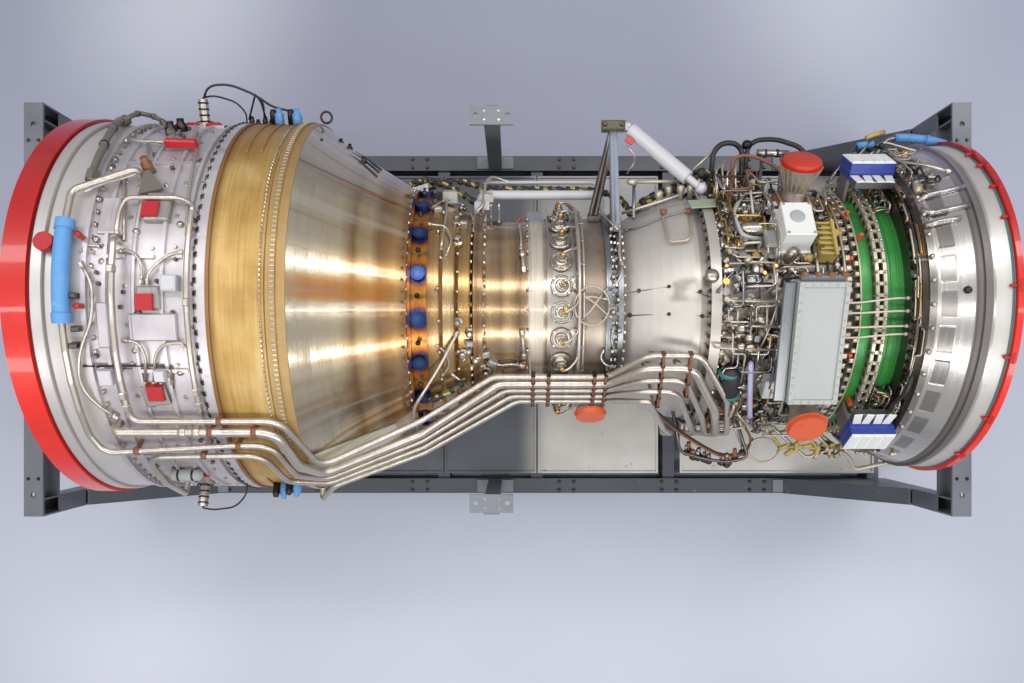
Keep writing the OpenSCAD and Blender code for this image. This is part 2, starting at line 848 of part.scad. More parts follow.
module valve_blocks() {
    block_angle = 57;
    block_r = intake_flange_r + 8;
    block_x = narrow_band_x + 8;
    color("white")
        seat(x_accessory + 264, 27.3, accessory_r + gap) {
            translate([0, -108, 0]) cube([160, 216, 60]);
            translate([10, -94, 60 - lap]) cube([140, 188, 120]);
        }
    color("gold")
        seat(x_accessory + 450, 22, accessory_r + gap)
            translate([0, -90, 0]) cube([76, 180, 110]);
    for (s = [-1, 1])
        color("midnightblue") {
            seat(block_x, s * block_angle, block_r)
                translate([0, -70, 0]) cube([215, 140, 84]);
            seat(block_x, s * block_angle, narrow_band_r + gap)
                translate([0, -50, 0]) cube([16, 100, block_r + 8 - narrow_band_r]);
            seat(x_intake_flange - 50, s * block_angle, green_band_r + gap)
                translate([0, -30, 0]) cube([12, 60, block_r + 8 - green_band_r]);
        }
}

// Port with a cone, a flange and a coloured blanking cap
module capped_port(x, angle, from, to, r) {
    color("silver")
        seat(x, angle, from + gap) {
            cylinder(h = to - from, r = r * 0.62, $fn = 32);
            translate([0, 0, (to - from) * 0.5])
                cylinder(h = (to - from) * 0.5, r1 = r * 0.62, r2 = r * 1.14, $fn = 32);
        }
    color("orangered")
        seat(x, angle, to) cylinder(h = 26, r = r, $fn = 32);
}

module blanking_caps() {
    capped_port(x_accessory + 403, 49, accessory_r, accessory_r + 262, cap_r);
    capped_port(x_accessory + 436, -49, accessory_r, accessory_r + 228, cap_r);
    capped_port(x_mid - 56, -66, combustor_r, combustor_r + 130, cap_r * 0.86);
    color("red") {
        seat(x_rear + 14, 11, rear_case_r + gap) {
            cylinder(h = 40, r = 12, $fn = 24);
            translate([0, 0, 22]) cylinder(h = 34, r = 42, $fn = 32);
        }
        for (a = [20.3, -3.9, -27.7])
            seat(sensor_x, a, drum_r + gap) translate([-36, -36, 0]) cube([72, 72, 46]);
    }
}

sensor_x = x_drum + (rib_places[1] + rib_w + rib_places[2]) / 2;
module sensor_stubs() {
    for (a = [-72, 72]) {
        color("red")
            seat(sensor_x, a, drum_r + gap) cylinder(h = 26, r = 50, $fn = 32);
        color("silver")
            seat(sensor_x, a, drum_r + 20) cylinder(h = 120, r = 24, $fn = 24);
    }
}

bracket_x = x_mid + mid_flange_w / 2 + 20;
bracket_top = [bracket_x + 10, 950, axis_h + 180];
module mount_bracket() {
    feet = [[x_mid - 34, 66, combustor_r], [bracket_x, 46, mid_flange_r]];
    color("slategray") {
        for (foot = feet) {
            p = on(foot[0], foot[1], foot[2] + 26);
            seat(foot[0], foot[1], foot[2] + gap) translate([-30, -30, 0]) cube([52, 60, 34]);
            for (s = [-1, 1])
                rod(p + [s * 14 - 4, 0, 0], bracket_top + [s * 8, 0, 0], 13);
        }
        translate(bracket_top - [60, 20, 22]) cube([120, 44, 44]);
    }
}

module mount_strut() {
    eye = strut_r * 0.8;
    a = bracket_top + [60 + gap, 0, 0];
    b = on(x_front_flange + front_flange_w / 2, 62, front_flange_r + eye + gap);
    d = unit(b - a);
    color("whitesmoke") {
        translate(a - [0, strut_r * 0.5, strut_r * 0.5]) cube([30, strut_r, strut_r]);
        rod(a + [20, 0, 0] + 24 * d, b - 90 * d, strut_r);
        rod(a + [20, 0, 0], b, strut_r * 0.5);
        translate(b) sphere(r = eye, $fn = 24);
    }
}

// Blue sleeve round the pipe beside the exhaust ring
sleeve_x = x_rear + rear_case_w * 0.6;
sleeve_mid_r = rear_case_r + sleeve_r + 12;
sleeve_from = -9;
sleeve_to = 16.5;
module hose_sleeve() {
    collar = 2.5;
    color("dodgerblue") {
        hoop(sleeve_x, sleeve_mid_r, sleeve_from, sleeve_to, sleeve_r);
        hoop(sleeve_x, sleeve_mid_r, sleeve_to - collar, sleeve_to, sleeve_r + 5);
        hoop(sleeve_x, sleeve_mid_r, sleeve_from, sleeve_from + collar, sleeve_r + 5);
    }
    color("silver")
        for (a = [sleeve_from + 2 * collar, sleeve_to - 2 * collar])
            seat(sleeve_x, a, rear_case_r + gap) cylinder(h = 20, r = 14, $fn = 24);
}

// Pipe routes are given as station, angle and radius
function route(rows) = [for (p = rows) on(p[0], p[1], p[2])];

pipe_level = rib_r + pipe_r + 32;
sleeve_seam = 0.02;
landing_x = x_drum + rib_places[1] - tube_r - 6;
turn_x = x_drum + rib_places[1] - 60;

// Feed pipe from the drum into the blue sleeve
module drum_pipes() {
    color("silver")
        pipe(route([
            [sleeve_x, sleeve_to + sleeve_seam, sleeve_mid_r], [sleeve_x, 25, sleeve_mid_r + 6],
            [landing_x, 32, pipe_level + 4], [landing_x, 32, drum_r + gap]
        ]), tube_r + 3, pipe_bend / 2);
}

// Small tube bent round the drum beside its last rib
module drum_tube() {
    r = rib_r + tube_r + 16;
    x = x_drum + rib_places[3] + 30;
    ends = [-32.5, 19.6];
    color("silver") {
        hoop(x, r, ends[0], ends[1], tube_r);
        for (a = [ends[0] + 4, ends[1] - 4]) standoff(x, a, drum_r, r);
    }
}

// Radius of the compressor casing at a station
function compressor_radius(x) =
    compressor_r + (compressor_end_r - compressor_r)
    * sin(90 * min(1, max(0, (x - x_compressor) / (compressor_l - 30))));

function casing_radius(x) =
    x > x_accessory ? accessory_r : x > x_front_flange ? front_flange_r : compressor_radius(x);

// Start of each bundled pipe: two from the drum, one from the blue sleeve, the drum and the cone
function bundle_start(i) =
    i == 0 ? route(concat(
        [[turn_x, 12, drum_r + gap]],
        [for (a = [12:-7:-30]) [turn_x, a, pipe_level]],
        [[turn_x, -35.3, pipe_level], [x_gold_flange + 20, -35.3, pipe_level]]
    ))
    : i == 1 ? route([
        [x_drum + 60, -38.5, drum_r + gap], [x_drum + 60, -38.5, pipe_level + 8],
        [x_gold_flange - 10, -38.5, pipe_level + 8], [x_cone - 30, -52, pipe_level + 8]
    ])
    : i == 2 ? route(concat(
        [for (a = [sleeve_from - sleeve_seam, -16, -24, -32, -40]) [sleeve_x, a, sleeve_mid_r]],
        [[sleeve_x + 40, -46, pipe_level + 10], [x_gold + 40, -43.3, pipe_level + 8],
            [x_gold_flange - 40, -43.3, pipe_level + 8], [x_gold_flange + 20, -58, pipe_level]]
    ))
    : i == 3 ? route([
        [x_drum + 150, -78, drum_r + gap], [x_drum + 150, -78, pipe_level],
        [x_drum + 150, -63, pipe_level], [x_drum + 150, -48, pipe_level + 6],
        [x_gold_flange - 100, -47.2, pipe_level + 8], [x_gold_flange - 40, -62, pipe_level]
    ])
    : route([[x_cone - 40, -84, gold_flange_r + gap], [x_cone - 40, -84, gold_flange_r + 66]]);

// Five pipes that run from the drum to the front flange side by side
bundle_n = 5;
cone_angles = [-57, -61.5, -66, -70.5, -76];
boss_angles = [-56, -64, -68, -72, -76];
waist_angles = [-39.7, -44, -48.4, -52.8, -57];
module pipe_bundle() {
    waist_gap_r = nozzle_band_r + nozzle_h + pipe_r + 18;
    front_gap_r = front_flange_r + pipe_r + 42;
    function front_angle(i) = -24 - 5.6 * i;
    color("silver")
        for (i = [0:bundle_n - 1]) {
            r = i == 1 ? big_pipe_r - 2 : pipe_r;
            x_drop = x_front_flange - 50 - 30 * i - (i == 4 ? 100 : 0);
            x_end = x_front_flange + 196 - 60 * i - (i == 4 ? 60 : 0);
            pipe(concat(bundle_start(i), route([
                [x_cone + 50, cone_angles[i], cone_r + 50],
                [x_boss + 40, boss_angles[i], cone_end_r + 88 + 18 * i],
                [x_waist + 76 + 30 * i, waist_angles[i], waist_gap_r],
                [x_mid + 10, waist_angles[i], waist_gap_r],
                [x_compressor + 100, front_angle(i), front_gap_r],
                [x_drop, front_angle(i), front_gap_r],
                [(x_drop + 2 * x_end) / 3, front_angle(i) - 22, front_gap_r],
                [x_end, -76, front_gap_r],
                [x_end, -98, front_gap_r],
                [x_end, -98, casing_radius(x_end) + gap]
            ])), r, pipe_bend);
        }
    color("dimgray")
        for (i = [0:bundle_n - 1]) {
            seat(x_nozzle - 84, waist_angles[i], waist_r + gap)
                cylinder(h = waist_gap_r - waist_r, r = 6, $fn = 24);
            seat(x_mid + 13, waist_angles[i], mid_flange_r + gap)
                cylinder(h = waist_gap_r - mid_flange_r, r = 6, $fn = 24);
        }
}

// Bleed pipes along the far side of the waist
module bleed_pipes() {
    x0 = x_waist;
    x1 = x_mid + 13;
    white_r = nozzle_band_r + nozzle_h + 54;
    thin_r = white_r + 84;
    color("whitesmoke")
        pipe(route([
            [x0, 82, turbine_flange_r + gap], [x0, 82, white_r],
            [x1, 82, white_r], [x1, 82, mid_flange_r + gap]
        ]), 25, 50);
    color("silver")
        pipe(route([
            [x0, 90, turbine_flange_r + gap], [x0, 90, thin_r],
            [x1, 90, thin_r], [x1, 90, mid_flange_r + gap]
        ]), 10, 50);
}

side_rail_near();
side_rail_far();
post_exhaust_near();
post_exhaust_far();
post_intake_near();
post_intake_far();
end_beam_exhaust();
end_beam_intake();
cross_members();
floor_trays();
side_pad_near();
side_pad_far();
exhaust_cradle();
intake_cradle();
exhaust_ring();
exhaust_casing();
exhaust_vanes();
tail_cone();
drum_casing();
gold_band();
hot_cone();
boss_ring();
turbine_casing();
waist_casing();
fuel_nozzles();
combustor_casing();
middle_flange();
compressor_casing();
accessory_casing();
vane_casing();
unison_rings();
intake_flange();
intake_casing();
intake_vanes();
nose_cone();
intake_ring();
gearbox();
control_box();
valve_blocks();
blanking_caps();
sensor_stubs();
mount_bracket();
mount_strut();
hose_sleeve();
drum_pipes();
drum_tube();
pipe_bundle();
bleed_pipes();
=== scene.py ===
import math
import random

import bpy
import numpy as np
from mathutils import Matrix, Vector


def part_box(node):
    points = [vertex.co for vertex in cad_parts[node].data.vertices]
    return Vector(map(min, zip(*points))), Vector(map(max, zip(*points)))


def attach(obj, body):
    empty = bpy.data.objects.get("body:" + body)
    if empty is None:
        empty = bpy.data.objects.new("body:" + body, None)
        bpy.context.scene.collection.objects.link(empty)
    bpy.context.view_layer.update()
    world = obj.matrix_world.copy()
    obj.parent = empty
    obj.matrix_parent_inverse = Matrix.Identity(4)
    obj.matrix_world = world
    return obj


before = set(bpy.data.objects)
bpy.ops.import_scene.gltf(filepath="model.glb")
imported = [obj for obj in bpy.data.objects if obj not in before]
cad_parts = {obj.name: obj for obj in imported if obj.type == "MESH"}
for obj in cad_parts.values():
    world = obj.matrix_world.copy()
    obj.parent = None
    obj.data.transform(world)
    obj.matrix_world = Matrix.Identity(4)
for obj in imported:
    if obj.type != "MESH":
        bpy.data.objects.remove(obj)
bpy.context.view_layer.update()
rng = random.Random(20)

EYE = Vector((0.085, -0.447, 5.72))      # where the picture is taken from
LENS_MM = 28.125
SENSOR_MM = 36.0
PICTURE = (1024, 683)
AIM_PIXEL = (513, 390)                   # the pixel straight below the eye
FOCAL_PX = LENS_MM / SENSOR_MM * PICTURE[0]

# Sizes the scene shares with the construction
DRUM_R = 0.958                           # skin of the drum
GOLD_R = 0.974                           # skin of the ochre band
ACCESSORY_R = 0.594                      # just inside the skin of the accessory casing
FRONT_R = 0.590                          # where the near hoses go in, a little deeper
PROBE_X = -1.505                         # the two probes at the sides of the drum
PROBE_ANGLE = 72
NAVY_ANGLE = 57.0
NAVY_TOP = 0.842
BOX_ANGLE = -16.8
YELLOW_ANGLE = 22.0
WHITE_BOX_ANGLE = 27.3
RED_PORT_ANGLE = 49.0
TURN_X = -1.635                          # the first bundled pipe round the drum
LOOP_X = -1.320                          # the small tube round the drum


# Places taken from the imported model

def low(node):
    """Lowest corner of a CAD node's box."""
    return Vector(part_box(node)[0])


def high(node):
    """Highest corner of a CAD node's box."""
    return Vector(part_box(node)[1])


class Section:
    """Station of both ends, largest radius and length of a casing."""

    def __init__(self, node):
        a, b = low(node), high(node)
        self.x0, self.x1 = a.x, b.x
        self.r = (b.y - a.y) / 2
        self.length = b.x - a.x


SHAFT_Z = (low("waist_casing").z + high("waist_casing").z) / 2
drum = Section("drum_casing")
gold = Section("gold_band")
cone = Section("hot_cone")
bosses = Section("boss_ring")
turbine = Section("turbine_casing")
waist = Section("waist_casing")
nozzles = Section("fuel_nozzles")
accessory = Section("accessory_casing")
vanes = Section("vane_casing")
dark = Section("intake_flange")
intake = Section("intake_casing")


def seat(x, angle, r):
    """Place on a casing: z points outward, x along the shaft, angle 0 is the top."""
    a = math.radians(angle)
    s, c = math.sin(a), math.cos(a)
    return Matrix(((1, 0, 0, x), (0, c, s, r * s), (0, -s, c, SHAFT_Z + r * c), (0, 0, 0, 1)))


def on(x, angle, r):
    return seat(x, angle, r).translation


def row(x, r, count, first=0.0):
    """Places right round a casing, at even steps."""
    return [seat(x, first + k * 360 / count, r) for k in range(count)]


def turn(axis, degrees):
    return Matrix.Rotation(math.radians(degrees), 4, axis)


def shift(x, y, z):
    return Matrix.Translation((x, y, z))


def facing(place, direction):
    """Frame at a place whose z axis points in a direction."""
    return Matrix.Translation(place) @ direction.to_track_quat("Z", "Y").to_matrix().to_4x4()


# Shader building

def srgb(red, green, blue):
    """A colour as read from a screen, 0 to 255, made linear."""
    def linear(v):
        v /= 255
        return v / 12.92 if v <= 0.04045 else ((v + 0.055) / 1.055) ** 2.4
    return (linear(red), linear(green), linear(blue), 1)


class Value:
    """A number socket; arithmetic on it adds Math nodes."""

    def __init__(self, shader, socket):
        self.shader, self.socket = shader, socket

    def math(self, operation, *others):
        return self.shader.math(operation, self, *others)

    def __add__(self, other):
        return self.math("ADD", other)

    def __sub__(self, other):
        return self.math("SUBTRACT", other)

    def __mul__(self, other):
        return self.math("MULTIPLY", other)

    def __truediv__(self, other):
        return self.math("DIVIDE", other)

    def __rsub__(self, other):
        return self.shader.math("SUBTRACT", other, self)

    def __rtruediv__(self, other):
        return self.shader.math("DIVIDE", other, self)

    __radd__ = __add__
    __rmul__ = __mul__

    def ramp(self, start, end):
        """0 below start, 1 above end, smooth between."""
        return self.shader.step(self, start, end)

    def band(self, start, end, soft=0.002):
        """1 between start and end, 0 outside."""
        return self.ramp(start - soft, start + soft) * (1 - self.ramp(end - soft, end + soft))


class Shader:
    """One material and the nodes that make it."""

    def __init__(self, name):
        self.material = bpy.data.materials.new(name)
        self.material.use_nodes = True
        self.tree = self.material.node_tree
        self.tree.nodes.clear()
        self.point = self.node("ShaderNodeTexCoord").outputs["Object"]
        xyz = self.node("ShaderNodeSeparateXYZ", {}, {"Vector": self.point}).outputs
        self.x, self.y, self.z = (Value(self, s) for s in xyz)

    def node(self, kind, settings=None, sockets=None):
        made = self.tree.nodes.new(kind)
        for key, value in (settings or {}).items():
            if key == "stops":
                while len(made.color_ramp.elements) < len(value):
                    made.color_ramp.elements.new(0.5)
                for element, (place, colour) in zip(made.color_ramp.elements, value):
                    element.position = place
                    element.color = colour
            else:
                setattr(made, key, value)
        for key, value in (sockets or {}).items():
            self.put(made.inputs[key], value)
        return made

    def put(self, socket, value):
        if isinstance(value, Value):
            value = value.socket
        if isinstance(value, bpy.types.NodeSocket):
            self.tree.links.new(value, socket)
        else:
            socket.default_value = value

    def math(self, operation, *values):
        made = self.node("ShaderNodeMath", {"operation": operation}, dict(enumerate(values)))
        return Value(self, made.outputs[0])

    def step(self, value, start, end):
        made = self.node("ShaderNodeMapRange", {"interpolation_type": "SMOOTHSTEP"},
                         {"Value": value, "From Min": start, "From Max": end})
        return Value(self, made.outputs["Result"])

    def mix(self, factor, first, second):
        made = self.node("ShaderNodeMix", {"data_type": "RGBA", "clamp_factor": True},
                         {0: factor, 6: first, 7: second})
        return made.outputs[2]

    def over(self, mask, *colour):
        """Lay a colour, given as on a screen or as a socket, over the base where the mask is 1."""
        self.base = self.mix(mask, self.base, srgb(*colour) if len(colour) == 3 else colour[0])

    def ramp(self, value, stops):
        """Colours along a value, each stop a place and a colour as read from a screen."""
        stops = [(place, srgb(*colour)) for place, *colour in stops]
        return self.node("ShaderNodeValToRGB", {"stops": stops}, {"Fac": value}).outputs["Color"]

    def stretch(self, sx, sy, sz):
        return self.node("ShaderNodeVectorMath", {"operation": "MULTIPLY"},
                         {0: self.point, 1: (sx, sy, sz)}).outputs[0]

    def combine(self, x, y, z):
        return self.node("ShaderNodeCombineXYZ", {}, {"X": x, "Y": y, "Z": z}).outputs[0]

    def noise(self, scale, detail=3, where=None):
        made = self.node("ShaderNodeTexNoise", {},
                         {"Vector": where or self.point, "Scale": scale, "Detail": detail})
        return Value(self, made.outputs["Fac"])

    def cells(self, scale, where=None):
        made = self.node("ShaderNodeTexVoronoi", {}, {"Vector": where or self.point, "Scale": scale})
        return Value(self, made.outputs["Distance"])

    def angle(self):
        """Angle about the shaft in degrees, 0 at the top."""
        return self.math("ARCTAN2", self.y, self.z - SHAFT_Z) * (180 / math.pi)

    def radius(self):
        """Distance from the shaft."""
        up = self.z - SHAFT_Z
        return self.math("SQRT", self.y * self.y + up * up)

    def bump(self, height, depth, strength=1.0):
        sockets = {"Height": height, "Distance": depth, "Strength": strength}
        return self.node("ShaderNodeBump", {}, sockets).outputs["Normal"]

    def surface(self, rough, metal=0.0, normal=None, coat=0.0, coat_rough=0.1):
        sockets = {"Base Color": self.base, "Roughness": rough, "Metallic": metal,
                   "Coat Weight": coat, "Coat Roughness": coat_rough}
        if normal:
            sockets["Normal"] = normal
        shader = self.node("ShaderNodeBsdfPrincipled", {}, sockets)
        out = self.node("ShaderNodeOutputMaterial")
        self.tree.links.new(shader.outputs["BSDF"], out.inputs["Surface"])
        return self.material


def turned_lines(shader, density, spread=4):
    """Fine marks that run round the shaft, as a lathe or a brush leaves them."""
    where = shader.combine(shader.x * density, shader.angle() * (spread / 180), shader.radius() * 10)
    return shader.noise(1.0, 4, where)


def metal(name, colour, rough=0.3, grime=0.25, metallic=1.0, density=180, bump=0.0004):
    """Worked metal with lathe marks, cloudy wear and small stains."""
    s = Shader(name)
    lines = turned_lines(s, density)
    cloud = s.noise(3.5, 5)
    stain = s.noise(14, 6).ramp(0.56, 0.78)
    darker = tuple(c * 0.55 for c in colour[:3]) + (1,)
    brown = (colour[0] * 0.62, colour[1] * 0.50, colour[2] * 0.38, 1)
    s.base = s.mix(lines.ramp(0.3, 0.75) * 0.36, colour, darker)
    s.over(cloud.ramp(0.45, 0.75) * grime, brown)
    s.over(stain * (grime * 0.6), darker)
    roughness = rough + (lines - 0.5) * 0.25 + (cloud - 0.5) * 0.2
    return s.surface(roughness, metallic, s.bump(lines, bump))


def paint(name, colour, rough=0.4, coat=0.0, wear=0.2, bump=0.0006):
    """Sprayed paint with soft dirt, light rubbed places and a faint orange peel."""
    s = Shader(name)
    cloud = s.noise(2.4, 5)
    speck = s.noise(60, 3)
    darker = tuple(c * 0.6 for c in colour[:3]) + (1,)
    lighter = tuple(min(1, c * 1.35 + 0.02) for c in colour[:3]) + (1,)
    s.base = s.mix(cloud.ramp(0.4, 0.75) * wear, colour, darker)
    s.over(speck.ramp(0.6, 0.75) * (wear * 0.6), lighter)
    roughness = rough + (cloud - 0.5) * 0.25
    return s.surface(roughness, 0.0, s.bump(s.noise(220, 2), bump, 0.25), coat)


# Mesh building

class Parts:
    """Collects simple shapes that become one mesh."""

    def __init__(self):
        self.verts, self.faces, self.smooth = [], [], []
        self.count = 0

    def add(self, verts, faces, smooth=False):
        verts = np.asarray(verts, dtype=float).reshape(-1, 3)
        self.verts.append(verts)
        self.faces.extend(tuple(i + self.count for i in f) for f in faces)
        self.smooth.extend([smooth] * len(faces))
        self.count += len(verts)

    def stamp(self, verts, faces, places, smooth=False):
        base = np.c_[np.asarray(verts, dtype=float), np.ones(len(verts))]
        for place in places:
            self.add((base @ np.array(place).T)[:, :3], faces, smooth)

    def block(self, place, size, chamfer):
        """Box that stands on its place, with its upper edges broken."""
        sx, sy, sz = size[0] / 2, size[1] / 2, size[2]
        c = min(chamfer, sx * 0.45, sy * 0.45, sz * 0.45)
        verts = []
        for x, y, z in ((sx, sy, 0), (sx, sy, sz - c), (sx - c, sy - c, sz)):
            verts += [(-x, -y, z), (x, -y, z), (x, y, z), (-x, y, z)]
        self.stamp(verts, skin_faces(3, 4), [place])

    def tube(self, points, radius, sides=10, caps=True):
        self.add(*sweep(points, radius, sides, caps), True)

    def build(self, name, material, slot):
        mesh = bpy.data.meshes.new(name)
        mesh.from_pydata(np.concatenate(self.verts).tolist(), [], self.faces)
        mesh.polygons.foreach_set("use_smooth", self.smooth)
        mesh.materials.append(material)
        mesh.update()
        piece = bpy.data.objects.new(name, mesh)
        bpy.context.collection.objects.link(piece)
        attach(piece, "root")
        return piece


def lathe(steps, sides):
    """Solid of revolution about z, from the radius and height of each step."""
    verts = []
    for r, z in steps:
        for k in range(sides):
            a = 2 * math.pi * k / sides
            verts.append((r * math.cos(a), r * math.sin(a), z))
    return verts, skin_faces(len(steps), sides)


def skin_faces(rings, sides, caps=True):
    """Faces that join rings of points to a closed skin."""
    faces = []
    for i in range(rings - 1):
        for k in range(sides):
            a, b = sides * i + k, sides * i + (k + 1) % sides
            faces.append((a, b, b + sides, a + sides))
    if caps:
        last = sides * (rings - 1)
        faces.append(tuple(reversed(range(sides))))
        faces.append(tuple(range(last, last + sides)))
    return faces


def sweep(points, radius, sides, caps=True):
    """Round tube along a list of points."""
    p = np.array([tuple(v) for v in points], dtype=float)
    d = np.gradient(p, axis=0)
    for i in range(1, len(d)):
        if not d[i].any():               # a point met more than twice keeps the direction before it
            d[i] = d[i - 1]
    d /= np.linalg.norm(d, axis=1)[:, None]
    up = np.array((0.0, 0.0, 1.0)) if abs(d[0][2]) < 0.9 else np.array((1.0, 0.0, 0.0))
    side = np.cross(d[0], up)
    verts = []
    ring = np.linspace(0, 2 * math.pi, sides, endpoint=False)
    for i in range(len(p)):
        side = side - d[i] * np.dot(side, d[i])
        side /= np.linalg.norm(side)
        other = np.cross(d[i], side)
        verts.append(p[i] + radius * (np.cos(ring)[:, None] * side + np.sin(ring)[:, None] * other))
    return np.concatenate(verts), skin_faces(len(p), sides, caps)


def rounded(points, bend, steps=5):
    """Corner points joined by straight runs and round bends."""
    points = [Vector(p) for p in points]
    out = [points[0]]
    for a, b, c in zip(points, points[1:], points[2:]):
        u, v = (a - b), (c - b)
        reach = min(bend, u.length * 0.48, v.length * 0.48)
        start, end = b + u.normalized() * reach, b + v.normalized() * reach
        for i in range(steps + 1):
            t = i / steps
            out.append(start * (1 - t) ** 2 + b * (2 * t * (1 - t)) + end * t ** 2)
    out.append(points[-1])
    return out


def wrapped(rows, bend=0.04, steps=5, reach=0.06):
    """Path given as station, angle and radius, which follows the casing round the shaft."""
    scale = max(0.2, sum(r[2] for r in rows) / len(rows))
    flat = [Vector((x, math.radians(a) * scale, r)) for x, a, r in rows]
    flat = rounded(flat, bend, steps) if len(flat) > 2 else flat
    out = []
    for a, b in zip(flat, flat[1:]):
        n = max(1, int(abs(b.y - a.y) / reach))
        out += [a.lerp(b, i / n) for i in range(n)]
    out.append(flat[-1])
    return [on(p.x, math.degrees(p.y / scale), p.z) for p in out]


def circle(count):
    """Cosine and sine of the points of a closed ring."""
    return [(math.cos(t), math.sin(t)) for t in np.linspace(0, 2 * math.pi, count)]


def profile(*sizes):
    """Steps of a turned shape: radius and height of each in turn, given in millimetres."""
    return [(r / 1000, z / 1000) for r, z in zip(sizes[::2], sizes[1::2])]


def stub(*sizes):
    """Profile that starts straight from its seat."""
    return profile(sizes[0], 0, *sizes)


def barrel(*sizes):
    """Profile with two like ends, given from an end to the middle."""
    half = profile(*sizes)
    return [(r, -z) for r, z in half] + half[::-1]


# Fasteners

WASHER = [(0.64, 0), (0.64, 0.08), (0.60, 0.10)]
HEX_HEAD = [(0.5, 0.10), (0.5, 0.44), (0.42, 0.50)]


def bolt(parts, places, width):
    """Hexagon head on a washer, width across the corners."""
    for shape, sides in ((WASHER, 10), (HEX_HEAD, 6)):
        parts.stamp(*lathe([(r * width, z * width) for r, z in shape], sides), places)


def flange_bolts(parts, x, r, count, width, side):
    """Bolts along the shaft through a flange, heads on one side of it."""
    bolt(parts, [place @ turn("Y", 90 * side) for place in row(x, r, count, 180 / count)], width)


# Finishes

def red_gloss():
    """Ring paint: deep glossy red, with painted light that makes it brighter towards the near side and
    painted shade that makes it darker towards the far side.
    """
    s = Shader("ring_red")
    deep, warm = srgb(172, 12, 12), srgb(224, 36, 20)
    # painted light and shade: the near side is painted brighter red, the far side darker red
    s.base = s.mix(s.y.ramp(-0.5, 0.5), warm, deep)
    s.over(s.noise(3, 4).ramp(0.45, 0.75) * 0.3, 112, 8, 10)
    return s.surface(0.3 + s.noise(5, 4) * 0.08, 0.0, s.bump(s.noise(160, 2), 0.0003, 0.3), 0.5, 0.06)


def rear_metal():
    """Plain turned case behind the ring: polished lip, then pale satin metal."""
    s = Shader("rear_case_metal")
    lines = turned_lines(s, 120)
    cloud = s.noise(3, 5)
    s.base = srgb(206, 201, 198)
    s.over(cloud.ramp(0.4, 0.75) * 0.3, 176, 170, 165)
    s.over(s.x.band(-2.02, -2.004), 96, 88, 84)
    s.over(s.x.band(-1.955, -1.949) * 0.6, 118, 110, 104)
    s.over(s.noise(12, 6).ramp(0.62, 0.8) * 0.2, 150, 138, 128)
    lip = 1 - s.x.ramp(-1.957, -1.953)
    rough = 0.44 - lip * 0.04 + (lines - 0.5) * 0.16 + (cloud - 0.5) * 0.1
    return s.surface(rough, 0.45 + lip * 0.1, s.bump(lines, 0.0003))


def drum_metal():
    """White metal panels with weld seams, stains and rubbed marks."""
    s = Shader("drum_white_metal")
    angle, radius = s.angle(), s.radius()
    lines = turned_lines(s, 60, 10)
    cloud = s.noise(4.5, 6)
    s.base = srgb(211, 205, 206)
    s.over(cloud.ramp(0.35, 0.7) * 0.5, 176, 169, 172)
    patch = s.cells(3.2, s.combine(s.x * 2.2, angle / 18, radius))
    s.over(patch.ramp(0.2, 0.75) * 0.3, 168, 160, 170)
    violet = s.noise(5.5, 4, s.stretch(1, 1, 1.4)).ramp(0.58, 0.74)
    s.over(violet * 0.45, 150, 130, 146)
    rust = s.noise(17, 7).ramp(0.62, 0.78)
    s.over(rust * 0.35, 160, 130, 104)
    scratch = s.noise(24, 5, s.combine(s.x * 4, angle * 0.35, radius)).ramp(0.66, 0.74)
    s.over(scratch * 0.35, 244, 244, 246)
    seam = (s.x + 1.573).band(-0.003, 0.003, 0.001) + (s.x + 1.33).band(-0.003, 0.003, 0.001)
    s.over(seam * 0.6, 120, 112, 114)
    rough = 0.42 + (cloud - 0.5) * 0.25 + (lines - 0.5) * 0.12
    return s.surface(rough, 0.6, s.bump(cloud * 0.6 + lines * 0.4, 0.0010, 0.5))


def gold_finish():
    """Ochre coat, brushed on round the drum, browner at its edges, with painted shade that darkens it towards
    the far side.
    """
    s = Shader("ochre_coat")
    angle, radius = s.angle(), s.radius()
    sweep_lines = s.noise(1.0, 6, s.combine(s.x * 90, angle * 0.05, radius * 8))
    drift = s.noise(2.2, 5, s.combine(s.x * 2, angle * 0.03, radius))
    s.base = s.ramp(drift + (sweep_lines - 0.5) * 0.5, [
        (0.0, 134, 96, 46), (0.35, 170, 132, 68), (0.55, 192, 156, 92),
        (0.75, 208, 180, 124), (1.0, 186, 150, 88)])
    # painted shade: the far side of the band is darkened
    far_side_shade = s.y.ramp(0.45, 0.9)
    s.over(far_side_shade * 0.6, 118, 82, 42)
    dark_edge = 1 - s.x.ramp(gold.x0 + 0.004, gold.x0 + 0.055)
    s.over(dark_edge * 0.75, 104, 66, 34)
    edges = 1 - s.x.band(gold.x0 + 0.03, -1.0, 0.025)
    s.over(edges * 0.3, 150, 108, 60)
    flange = s.x.ramp(-0.993, -0.985)
    s.over(flange * 0.6, s.mix(s.noise(30, 4), srgb(178, 152, 106), srgb(150, 120, 76)))
    line = s.x.band(-0.998, -0.988, 0.002)
    s.over(line * 0.5, 96, 66, 38)
    runs = s.noise(1.0, 4, s.combine(s.x * 6, angle * 0.5, radius)).ramp(0.6, 0.75)
    s.over(runs * 0.3, 140, 104, 60)
    rough = 0.46 + (sweep_lines - 0.5) * 0.2
    return s.surface(rough, 0.35, s.bump(sweep_lines, 0.0006))


